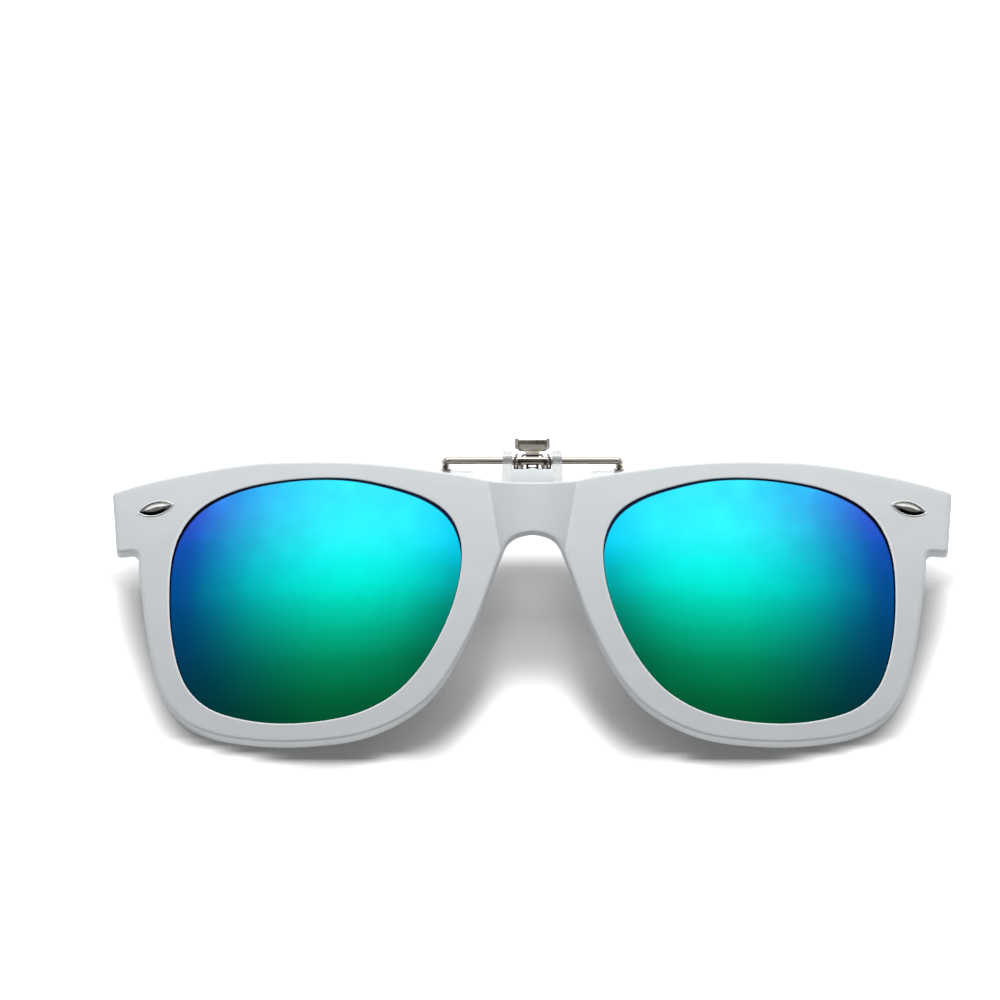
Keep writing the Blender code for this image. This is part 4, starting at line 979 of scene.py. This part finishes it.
clip = {
    "wireRadius": 0.675 * mm, "wireSpan": 31.05 * mm, "bend": 1.128 * mm, "jawBack": 2.35 * mm,
    "padWidth": 6.1 * mm, "padHeight": 10.0 * mm, "padDepth": 2.6 * mm, "padDrop": 1.3 * mm,
    "padRound": 0.55 * mm, "padFloor": 1.2 * mm, "play": 0.06 * mm, "legInset": 1.3 * mm, "legPlay": 0.2 * mm,
    "bulge": 0.35 * mm, "collar": 0.5 * mm, "collarRise": 0.6 * mm,
    "wrap": 0.2 * mm, "wrapPlay": 0.03 * mm, "wrapEnd": math.radians(8.0),
    "windowTo": 1.95 * mm, "windowBack": 2.35 * mm, "windowTop": 0.5 * mm,
    "sheet": 0.3 * mm, "saddleWidth": 5.1 * mm, "earSpread": 6.5 * mm, "earRadius": 0.95 * mm,
    "reach": 2.75 * mm, "stopWidth": 1.6 * mm, "pinRise": 0.35 * mm, "pinBack": 2.55 * mm,
    "pinRadius": 0.45 * mm, "pinHead": 0.62 * mm, "pinHeadWidth": 0.25 * mm,
}
lever = {
    "armWidth": 2.2 * mm, "neckWidth": 2.3 * mm, "neckRise": 2.55 * mm, "neckLean": 1.2 * mm,
    "neckRows": [(0.24, 1.1), (0.06, 0.5)], "tabWidth": 6.0 * mm, "tabLength": 3.35 * mm,
    "flange": 0.5 * mm, "fold": 0.45 * mm, "lip": 0.45 * mm, "step": 0.22 * mm,
    "tabRows": [(0.02, 0.8, 0.0), (0.08, 1.0, 0.0), (0.16, 1.0, 0.0), (0.3, 1.0, 0.0), (0.52, 1.0, 0.0),
                (0.75, 1.0, 0.0), (0.86, 1.0, 0.0), (0.90, 1.0, 0.1), (0.94, 1.0, 0.9), (1.0, 1.0, 1.0)],
    "tabLean": math.radians(50.0), "horn": 0.5 * mm, "slot": (1.5 * mm, 1.3 * mm, 0.1 * mm),
    "armDrop": 4.75 * mm, "armBack": 1.6 * mm,
    "rearRadius": 0.5 * mm, "rearBend": 0.8 * mm, "padWidth": 3.5 * mm, "padHeight": 6.1 * mm,
    "padDepth": 2.2 * mm, "padSpread": 16.8 * mm, "padDrop": 2.1 * mm, "jawGap": 0.4 * mm, "play": 0.1 * mm,
}
spring = {
    "radius": 0.2 * mm, "pitch": 1.0 * mm, "under": 1.2 * mm, "legs": 1.85 * mm,
    "bendWay": (0.0, 0.8, -0.6), "bendFrom": 0.7 * mm, "bendTo": 1.25 * mm,
    "hook": [(2.62 * mm, 1.10 * mm, 0.35 * mm), (3.00 * mm, 0.20 * mm, 1.02 * mm),
             (3.05 * mm, -0.70 * mm, 0.80 * mm), (3.10 * mm, -1.20 * mm, -0.50 * mm)],
}
pinY, pinZ = wireY + clip["pinRise"], wireZ - clip["pinBack"]
rearY, rearZ = pinY - lever["armDrop"], pinZ - lever["armBack"]
jawZ = wireZ - clip["jawBack"]
legX = clip["wireSpan"] / 2 - clip["wireRadius"]
rearLegZ = jawZ - clip["padDepth"] / 2 - lever["jawGap"] - lever["padDepth"] / 2


def bothSides(half):
    return [Vector((-p.x, p.y, p.z)) for p in reversed(half)] + half


def makeHingeWire():
    top = wireY - clip["padDrop"]
    low = top - clip["padHeight"] + clip["padFloor"] + clip["legPlay"]
    bulge, bend, radius = clip["bulge"], clip["bend"], clip["wireRadius"]
    corners = [(0.0, wireY, wireZ), (legX + bulge, wireY, wireZ),
               (legX + bulge * 0.5, wireY + 0.1 * mm, jawZ), (legX, top, jawZ), (legX, low, jawZ)]
    half = roundCorners([Vector(c) for c in corners], [bend, bend * 0.8, bend * 0.3], 12)
    mesh = wireMesh("hingeWire", bothSides(half[1:]), radius)
    foot, rise = top + clip["play"], clip["collarRise"]
    collars = []
    for sign in (-1, 1):
        profile = [(0.0, foot)]
        profile += [(radius + grow * clip["collar"], foot + share * rise)
                    for grow, share in ((0.92, 0.0), (1.0, 0.08), (0.96, 0.2), (0.6, 0.5), (0.25, 0.8))]
        profile += [(radius - 0.05 * mm, foot + rise), (0.0, foot + rise)]
        collar = turnedMesh("collar", profile, "Z", steps=36)
        collar.transform(Matrix.Translation((sign * legX, 0.0, jawZ)) @ Matrix.Rotation(-math.pi / 2, 4, "X"))
        collars.append(("UNION", collar))
    addPiece("hingeWire", joinShapes(mesh, collars), [polishedSteel], "clip", "hinge_wire", angle=50.0)


def makePad(name, body, node, low, high, legRadius, legAt, z):
    pad = softBlock(name, low, high, clip["padRound"], 5)
    hole = bore(legRadius + clip["play"], (legAt, low[1] + clip["padFloor"], z), (legAt, high[1] + mm, z))
    addPiece(name, joinShapes(pad, [hole]), [softClear], body, node, angle=32.0)


def makeFrontPads():
    top, deep = wireY - clip["padDrop"], clip["padDepth"] / 2
    for sign, word in hands:
        outer = sign * (legX + clip["legInset"])
        low, high = sorted((outer, outer - sign * clip["padWidth"]))
        makePad(f"frontPad{word}", "clip", f"front_pad_{word.lower()}",
                (low, top - clip["padHeight"], jawZ - deep), (high, top, jawZ + deep),
                clip["wireRadius"], sign * legX, jawZ)


def thickened(mesh, thickness, rounding=0.06 * mm, smoother=0):
    # a sheet given its thickness and soft edges
    holder = linked("sheet", mesh)
    if smoother:
        soft = holder.modifiers.new("soft", "SUBSURF")
        soft.levels = smoother
        soft.render_levels = smoother
        soft.boundary_smooth = "PRESERVE_CORNERS"
    wall = holder.modifiers.new("wall", "SOLIDIFY")
    wall.thickness = thickness
    wall.offset = 0.0
    edge = holder.modifiers.new("edge", "BEVEL")
    edge.width = rounding
    edge.segments = 2
    edge.angle_limit = math.radians(50.0)
    return drawnFrom(holder)


def armZ(y):
    top = pinZ - (clip["pinRadius"] + lever["play"] + clip["sheet"])
    low = rearZ - (lever["rearRadius"] + lever["play"] + clip["sheet"] / 2)
    return top + (low - top) * (pinY - y) / lever["armDrop"]


def makeSaddle():
    # bent round the front of the hinge wire, with a floor behind it, two ears for the pin and a stop
    middle = clip["wireRadius"] + clip["wrapPlay"] + clip["wrap"] / 2
    floorY = wireY - middle
    half = clip["saddleWidth"] / 2
    columns = [-half, -clip["windowTo"], 0.0, clip["windowTo"], half]
    bm = bmesh.new()
    strip = [bm.verts.new((x, floorY, wireZ - clip["reach"])) for x in columns]
    for pair in zip(strip, strip[1:]):
        bm.edges.new(pair)
    strip = growRow(bm, strip, [(x, floorY, wireZ - clip["windowBack"]) for x in columns])
    turns = 22
    for i in range(turns + 1):
        angle = -math.pi / 2 + (math.pi / 2 + clip["wrapEnd"]) * i / turns
        y, z = wireY + middle * math.sin(angle), wireZ + middle * math.cos(angle)
        strip = growRow(bm, strip, [(x, y, z) for x in columns])
    # a window under the wire leaves a curl on each side
    window = []
    for f in bm.faces:
        x, y, z = f.calc_center_median()
        if abs(x) < clip["windowTo"] and y < wireY - clip["windowTop"] and z > wireZ - clip["windowBack"]:
            window.append(f)
    bmesh.ops.delete(bm, geom=window, context="FACES")
    bmesh.ops.recalc_face_normals(bm, faces=bm.faces)
    wrap = thickened(meshOf("clipSaddle", bm, closed=False), clip["wrap"], rounding=0.04 * mm)
    thin = clip["wrap"] / 2 - 0.01 * mm
    ahead, back = pinZ + clip["earRadius"], pinZ - clip["earRadius"]
    reach, deep = clip["earSpread"] / 2, clip["reach"]
    steps = []
    for sign in (-1, 1):
        low, high = sorted((sign * reach, sign * (clip["windowTo"] + 0.05 * mm)))
        steps.append(("UNION", softBlock("side", (low, floorY - thin, wireZ - deep - 0.02 * mm),
                                         (high, floorY + thin, ahead))))
    wide, tall = clip["stopWidth"] / 2, thin * 0.9
    steps.append(("UNION", softBlock("stop", (-wide, floorY - tall, armZ(floorY) + clip["sheet"]),
                                     (wide, floorY + tall, wireZ - deep / 2))))
    outline = [(floorY - thin * 0.8, ahead - 0.03 * mm)]
    outline += arcPoints((pinY, pinZ), clip["earRadius"] - 0.02 * mm, math.pi / 2, -math.pi / 2, 24)
    outline += [(floorY - thin * 0.8, back + 0.03 * mm)]
    for sign in (-1, 1):
        ends = sorted((sign * (reach + 0.02 * mm), sign * (reach - clip["sheet"])))
        steps.append(("UNION", sidePlate("ear", outline, *ends)))
    steps.append(bore(clip["pinRadius"] + lever["play"], (-reach * 2, pinY, pinZ), (reach * 2, pinY, pinZ)))
    addPiece("clipSaddle", joinShapes(wrap, steps), [brushedNickel], "clip", "clip_base", angle=35.0)


def makePin():
    seat = clip["earSpread"] / 2 + 0.2 * mm
    r, w = clip["pinHead"], clip["pinHeadWidth"]
    profile = [(0.0, seat + w), (r * 0.45, seat + w), (r * 0.72, seat + w * 0.92), (r * 0.9, seat + w * 0.7),
               (r, seat + w * 0.4), (r, seat + w * 0.08), (r * 0.95, seat), (clip["pinRadius"], seat)]
    profile += [(a, -h) for a, h in reversed(profile)]
    mesh = turnedMesh("leverPin", profile, "X")
    mesh.transform(Matrix.Translation((0.0, pinY, pinZ)))
    addPiece("leverPin", mesh, [screwSteel], "clip", "pivot_pin", angle=40.0)


def makeSpring():
    # one wire: each end hooks round the front of the hinge wire and takes a turn on the pin,
    # and the loop between the turns holds the lever's neck
    radius, pitch = spring["radius"], spring["pitch"]
    coil = clip["pinRadius"] + 0.3 * mm + radius
    outerX = clip["earSpread"] / 2 - clip["sheet"] - 0.15 * mm - radius
    backZ = pinZ - coil
    neckY = pinY + lever["neckRise"] * 0.6
    neckZ = pinZ - lever["neckLean"] + clip["sheet"] * 1.5 + 0.2 * mm + radius
    corners = [Vector((x, wireY + y, wireZ + z)) for x, y, z in spring["hook"]]
    corners += [Vector((outerX, wireY - spring["under"], backZ)), Vector((outerX, pinY, backZ))]
    hook = roundCorners(corners, [0.35 * mm, 0.35 * mm, 0.45 * mm, radius * 2.5], 8)
    turn = []
    for i in range(1, 36):
        angle = math.pi - math.tau * i / 36
        y, z = pinY + coil * math.sin(angle), pinZ + coil * math.cos(angle)
        turn.append(Vector((outerX - pitch * i / 36, y, z)))
    leg = [(outerX - pitch, pinY, backZ), (spring["legs"], neckY, neckZ), (0.0, neckY, neckZ)]
    half = hook + turn + roundCorners([Vector(p) for p in leg], [radius * 2], 8)[:-1]
    line = half + [Vector((-p.x, p.y, p.z)) for p in reversed(half)]
    mesh = wireMesh("coilSpring", line, radius, 3)
    piece = addPiece("coilSpring", mesh, [springSteel], None, "torsion_spring", angle=70.0)
    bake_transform(piece)


# The lever and the rear jaw

def makeLever():
    # one stamping: a roll on the rear wire, an arm, a neck and the flanged thumb tab
    roll = lever["rearRadius"] + lever["play"] + clip["sheet"] / 2
    arm, neck, flange = lever["armWidth"] / 2, lever["neckWidth"] / 2, lever["flange"]
    rise, lean = lever["neckRise"], lever["tabLean"]
    topY, topZ = pinY + rise, pinZ - lever["neckLean"]
    # plain rows of (y, z, half width), from the roll up to the neck
    plain = [(y, z, arm) for y, z in arcPoints((rearY, rearZ), roll, math.pi * 0.25, math.pi * 1.5, 14)]
    for share in (0.35, 0.6, 0.8, 1.0):
        y = rearY + lever["armDrop"] * share
        plain.append((y, armZ(y), arm))
    plain.append((topY - rise * 0.7, armZ(pinY), arm))
    plain.append((topY - rise * 0.42, armZ(pinY) - 0.05 * mm, arm * 1.04))
    plain += [(topY - rise * drop, topZ + clip["sheet"] * ahead, neck) for drop, ahead in lever["neckRows"]]
    rows = [(y, z, half - flange / 2, half, 0.0, 0.0) for y, z, half in plain]
    # the tab's rows fold their sides forward, and the last ones lift into a lip
    outer = lever["tabWidth"] / 2
    for share, fold, lip in lever["tabRows"]:
        y = topY + lever["tabLength"] * share * math.cos(lean)
        z = topZ - lever["tabLength"] * share * math.sin(lean)
        rows.append((y, z, outer - flange, outer, lever["fold"] * fold, lever["lip"] * lip))
    bm = bmesh.new()
    forward = Vector((0.0, math.sin(lean), math.cos(lean)))
    upward = Vector((0.0, math.cos(lean), -math.sin(lean)))
    step = lever["step"]
    strip = None
    for i, (y, z, inner, outer, fold, lip) in enumerate(rows):
        horn = upward * (lever["horn"] if i >= len(rows) - 1 else 0.0)
        middle = Vector((0.0, y, z))
        places = []
        for x, far in ((inner * 0.5, 0.0), (inner - step, 0.0), (inner - step * 0.6, 0.1),
                       (inner + step * 0.2, 0.85), (inner + step * 0.6, 1.0), (outer, 0.9)):
            places.append(middle + Vector((x, 0.0, 0.0)) + forward * max(fold * far, lip) + horn * far)
        mirrored = [Vector((-p.x, p.y, p.z)) for p in reversed(places)]
        places = mirrored + [middle + forward * lip] + places
        if strip:
            strip = growRow(bm, strip, places)
        else:
            strip = [bm.verts.new(p) for p in places]
            for pair in zip(strip, strip[1:]):
                bm.edges.new(pair)
    bmesh.ops.recalc_face_normals(bm, faces=bm.faces)
    sheet = thickened(meshOf("thumbLever", bm, closed=False), clip["sheet"], smoother=1)
    lug = clip["pinRadius"] + lever["play"] + clip["sheet"]
    outline = arcPoints((pinY, pinZ), lug, math.pi / 2 + 0.6, -0.6, 20)
    outline += [(pinY + lug, armZ(pinY)), (pinY - lug, armZ(pinY - lug))]
    steps = []
    for sign in (-1, 1):
        outer = sign * (lever["armWidth"] - clip["sheet"]) / 2
        steps.append(("UNION", sidePlate("lug", outline, *sorted((outer, outer - sign * clip["sheet"])))))
    past = lever["armWidth"]
    steps.append(bore(clip["pinRadius"] + lever["play"], (-past, pinY, pinZ), (past, pinY, pinZ)))
    wide, low, high = lever["slot"]
    steps.append(("DIFFERENCE", softBlock("slot", (-wide / 2, pinY - low, armZ(pinY) - mm),
                                          (wide / 2, pinY - high, armZ(pinY) + 0.5 * mm))))
    addPiece("thumbLever", joinShapes(sheet, steps), [brushedNickel], "lever", "thumb_lever", angle=35.0)


def makeRearWire():
    legs = (lever["padSpread"] - lever["padWidth"]) / 2
    top = rearY - lever["padDrop"]
    low = top - lever["padHeight"] + clip["padFloor"] + clip["legPlay"]
    bend = lever["rearBend"]
    corners = [(0.0, rearY, rearZ), (legs - bend * 2, rearY, rearZ), (legs, top + bend * 1.2, rearLegZ),
               (legs, low, rearLegZ)]
    half = roundCorners([Vector(c) for c in corners], [bend, bend], 10)
    mesh = wireMesh("rearWire", bothSides(half[1:]), lever["rearRadius"], 5)
    addPiece("rearWire", mesh, [polishedSteel], "lever", "rear_wire", angle=60.0)


def makeRearPads():
    top, deep = rearY - lever["padDrop"], lever["padDepth"] / 2
    for sign, word in hands:
        outer = sign * lever["padSpread"] / 2
        inner = outer - sign * lever["padWidth"]
        low, high = sorted((outer, inner))
        makePad(f"rearPad{word}", "lever", f"rear_pad_{word.lower()}",
                (low, top - lever["padHeight"], rearLegZ - deep), (high, top, rearLegZ + deep),
                lever["rearRadius"], (inner + outer) / 2, rearLegZ)


def makeFront():
    # the moulding with the inlays' and the block's pockets cut, and the tongue welded on
    side = block["postGap"] / 2 + block["postWidth"] + front["seat"]
    low = bridgeTop - block["height"] - front["seat"]
    steps = []
    for sign in (1.0, -1.0):
        pocket = almondMesh("pocket", [(0.965, mm), (0.965, -0.8 * mm)], inlayPlace(sign))
        steps.append(("DIFFERENCE", pocket))
    steps.append(("DIFFERENCE", softBlock("pocket", (-side, low, -8 * mm), (side, bridgeTop + mm, pocketZ))))
    start, tip = pocketZ - mm, pocketZ + block["screwReach"] + 0.2 * mm
    for sign in (-1, 1):
        steps.append(bore(block["screwRadius"] + 0.05 * mm, screwSpot(sign, start), screwSpot(sign, tip), 32))
    steps.append(("UNION", tongueMesh()))
    mesh = joinShapes(frontHalf(), steps)
    addPiece("frontMoulding", mesh, [frameWhite], "front", "front_frame", angle=40.0)
    print("front moulding:", len(mesh.polygons), "faces")


makeFront()
makeInlays()
for side, word in hands:
    makeLens(side, word)
makeHingeBlock()
makeScrews()
print("front dressed")
makeHingeWire()
makeFrontPads()
makeSaddle()
makePin()
makeSpring()
print("clip dressed")
makeLever()
makeRearWire()
makeRearPads()
print("lever dressed")


# Stage, lights and camera

stage = {
    "floorSize": 4.0, "floorNear": 0.13, "floorCells": 240, "nearCells": 0.8,
    # painted shadow on the floor: its colour and glow from near the outline to far out; the reach, foot, nose
    # and white numbers shape the painted shadow and the painted white
    "floorPaintedShadowColour": (0.64, 0.95), "floorGlow": (0.06, 1.0),
    "sideReach": 10.5 * mm, "footReach": 2.1 * mm, "footFrom": 24.0 * mm, "footFade": 4.0 * mm,
    "lowerHalf": 20.0 * mm, "drawnIn": 2.5 * mm, "noseReach": 8.0 * mm, "noseFrom": 26.0 * mm,
    "noseFade": 12.0 * mm, "noseFoot": 21.0 * mm, "noseHold": 0.93, "noseLevel": 0.15, "noseWidth": 16.0 * mm,
    "noseLift": 3.0 * mm, "liftWidth": 40.0 * mm, "whiteFrom": 1.5 * mm, "whiteOver": 8.5 * mm,
    "skyLevel": 0.15,
    "key": {"place": (0.0, 0.25, 0.27), "size": (0.85, 0.16), "power": 2.02, "mirrored": True},
    "fill": {"place": (0.0, -0.45, 0.10), "size": (1.0, 0.1), "power": 0.6, "mirrored": False},
    "cardRadius": 0.8, "cardLow": 0.05, "cardHigh": 1.7, "cardTurn": math.radians(170.0), "cardColour": 0.02,
    "stripPlace": (0.0, 0.73, 0.45), "stripSize": (1.6, 0.84), "stripLevel": 2.6,
}
view = {
    "elevation": 16.0, "distance": 3.0, "frameWidth": 1000 / 5.824 * mm, "pixel": 1 / 5.824 * mm,
    "anchor": Vector((0.0, -0.42, -3.27)) * mm, "anchorAt": (32.5, 100.3),
}


def addStageMesh(name, bm, finish):
    mesh = meshOf(name, bm, closed=False)
    mesh.materials.append(finish)
    piece = linked(name, mesh)
    return piece


def seenDirectly(tree):
    # one for camera, mirror and see-through rays, nothing for the light that falls on the part
    path = put(tree, "ShaderNodeLightPath").outputs
    seen = reckoned(tree, "MAXIMUM", path["Is Camera Ray"], path["Is Glossy Ray"])
    return reckoned(tree, "MAXIMUM", seen, path["Is Transmission Ray"])


def eased(share):
    share = min(max(share, 0.0), 1.0)
    return share * share * (3.0 - 2.0 * share)


def makeFloor():
    # a white floor with painted shadow and painted light: near the part's outline its colour is painted
    # darker and its camera-seen glow held low, in a shape set by the distance to the outline; above a line
    # across the part's upper half, under the bridge too, it is painted white over any shade, and further out
    # the floor is plain white
    part = bmesh.new()
    for name in ("frontMoulding", "mirrorLensLeft", "mirrorLensRight"):
        part.from_mesh(bpy.data.objects[name].data)
    bmesh.ops.delete(part, geom=[f for f in part.faces if f.normal.z < 0.3], context="FACES")
    bmesh.ops.scale(part, vec=(1.0, 1.0, 0.0), verts=part.verts)
    outline = BVHTree.FromBMesh(part)
    part.free()
    bm = bmesh.new()
    clearOfPaintedShadow = bm.verts.layers.float.new("outsidePaintedShadow")
    cells = stage["floorCells"]
    bmesh.ops.create_grid(bm, x_segments=cells, y_segments=cells, size=1.0)
    near, far, most = stage["floorNear"], stage["floorSize"] / 2, stage["nearCells"]
    for v in bm.verts:
        # most cells lie near the part
        for i in (0, 1):
            share = abs(v.co[i])
            reach = near * share / most
            if share >= most:
                reach = near + (far - near) * (share - most) / (1.0 - most)
            v.co[i] = math.copysign(reach, v.co[i])
        # the painted shadow's shape: it reaches further at the sides than below the rims, is shifted in
        # towards the middle on the lower half, and is held at a low even share between the rims
        x, y = abs(v.co.x), v.co.y
        drawnX = x + stage["drawnIn"] * eased(-y / stage["lowerHalf"])
        gap = outline.find_nearest((drawnX, y, 0.0))[3]
        foot = eased((-y - stage["footFrom"]) / stage["footFade"])
        reach = stage["sideReach"] + (stage["footReach"] - stage["sideReach"]) * foot
        reach += (stage["noseReach"] - reach) * eased((stage["noseFrom"] - x) / stage["noseFade"])
        inNose = math.exp(-(x / stage["noseWidth"]) ** 2) * eased((y + stage["noseFoot"]) / stage["noseFade"])
        share = eased(gap / reach) * (1.0 - stage["noseHold"] * inNose) + stage["noseLevel"] * inNose
        lift = stage["noseLift"] * (1.0 - eased(x / stage["liftWidth"]))
        share = max(share, eased((y - stage["whiteFrom"] - lift) / stage["whiteOver"]))
        v[clearOfPaintedShadow] = min(share, 1.0)
    finish, tree, shader = newFinish("floorWhiteWithPaintedShadow")
    # painted shadow: the floor's colour and camera-seen glow are both low where the mark holds shadow
    share = markOf(tree, "outsidePaintedShadow")
    tree.links.new(ranged(tree, share, *stage["floorPaintedShadowColour"]), shader.inputs["Base Color"])
    glow = reckoned(tree, "MULTIPLY", seenDirectly(tree), ranged(tree, share, *stage["floorGlow"]))
    tree.links.new(glow, shader.inputs["Emission Strength"])
    setValues(shader, Roughness=0.9, Specular_IOR_Level=0.0, Emission_Color=(1.0, 1.0, 1.0, 1.0))
    addStageMesh("floor", bm, finish)


def onlyInMirrors(card):
    card.visible_camera = False
    card.visible_diffuse = False
    card.visible_shadow = False


def makeCards():
    # a dark curtain in front of the part and a bright strip behind it, which only its shiny pieces show
    bm = bmesh.new()
    first = Matrix.Rotation(-math.pi / 2 - stage["cardTurn"] / 2, 3, "Z")
    heights = (stage["cardLow"], stage["cardHigh"])
    ends = [bm.verts.new(first @ Vector((stage["cardRadius"], 0.0, h))) for h in heights]
    bmesh.ops.spin(bm, geom=ends + [bm.edges.new(ends)], cent=(0.0, 0.0, 0.0), axis=(0.0, 0.0, 1.0),
                   angle=stage["cardTurn"], steps=32)
    finish, tree, shader = newFinish("darkCloth")
    setValues(shader, Base_Color=(*(stage["cardColour"],) * 3, 1.0), Roughness=1.0, Specular_IOR_Level=0.0)
    onlyInMirrors(addStageMesh("darkCurtain", bm, finish))
    bm = bmesh.new()
    bmesh.ops.create_grid(bm, x_segments=1, y_segments=1, size=0.5)
    bmesh.ops.scale(bm, vec=(*stage["stripSize"], 1.0), verts=bm.verts)
    place = Vector(stage["stripPlace"])
    turn = Matrix.Rotation(math.atan2(place.y, place.z), 4, "X").inverted()
    bmesh.ops.transform(bm, matrix=Matrix.Translation(place) @ turn, verts=bm.verts)
    finish, tree, shader = newFinish("brightStrip")
    setValues(shader, Base_Color=(0.0, 0.0, 0.0, 1.0), Emission_Color=(1.0, 1.0, 1.0, 1.0),
              Emission_Strength=stage["stripLevel"], Specular_IOR_Level=0.0)
    onlyInMirrors(addStageMesh("brightStrip", bm, finish))


def makeSky():
    world = bpy.data.worlds.new("studio")
    bpy.context.scene.world = world
    world.use_nodes = True
    tree = world.node_tree
    background = tree.nodes["Background"]
    background.inputs["Color"].default_value = (1.0, 1.0, 1.0, 1.0)
    level = ranged(tree, seenDirectly(tree), stage["skyLevel"], 1.0)
    tree.links.new(level, background.inputs["Strength"])


def addLamp(name, values):
    lamp = bpy.data.lights.new(name, "AREA")
    lamp.shape = "RECTANGLE"
    lamp.size, lamp.size_y = values["size"]
    lamp.energy = values["power"]
    holder = linked(name, lamp)
    holder.location = values["place"]
    holder.rotation_euler = (-Vector(values["place"])).to_track_quat("-Z", "Y").to_euler()
    holder.visible_glossy = values["mirrored"]


def addCamera():
    turn = restMatrix.to_3x3()
    tilt = math.radians(view["elevation"])
    up = turn @ Vector((0.0, math.cos(tilt), math.sin(tilt)))
    out = turn @ Vector((0.0, -math.sin(tilt), math.cos(tilt)))
    across = Vector((1.0, 0.0, 0.0))
    right, above = view["anchorAt"]
    target = restMatrix @ view["anchor"] - across * right * view["pixel"] + up * above * view["pixel"]
    camera = bpy.data.cameras.new("camera")
    camera.sensor_width = 36.0
    camera.lens = 36.0 * view["distance"] / view["frameWidth"]
    camera.clip_end = 20.0
    holder = linked("camera", camera)
    holder.matrix_world = Matrix((across, up, out)).transposed().to_4x4()
    holder.location = target + out * view["distance"]
    bpy.context.scene.camera = holder


makeFloor()
makeCards()
makeSky()
addLamp("keyLamp", stage["key"])
addLamp("fillLamp", stage["fill"])
addCamera()
bpy.context.scene.view_settings.view_transform = "Standard"
print("stage set")
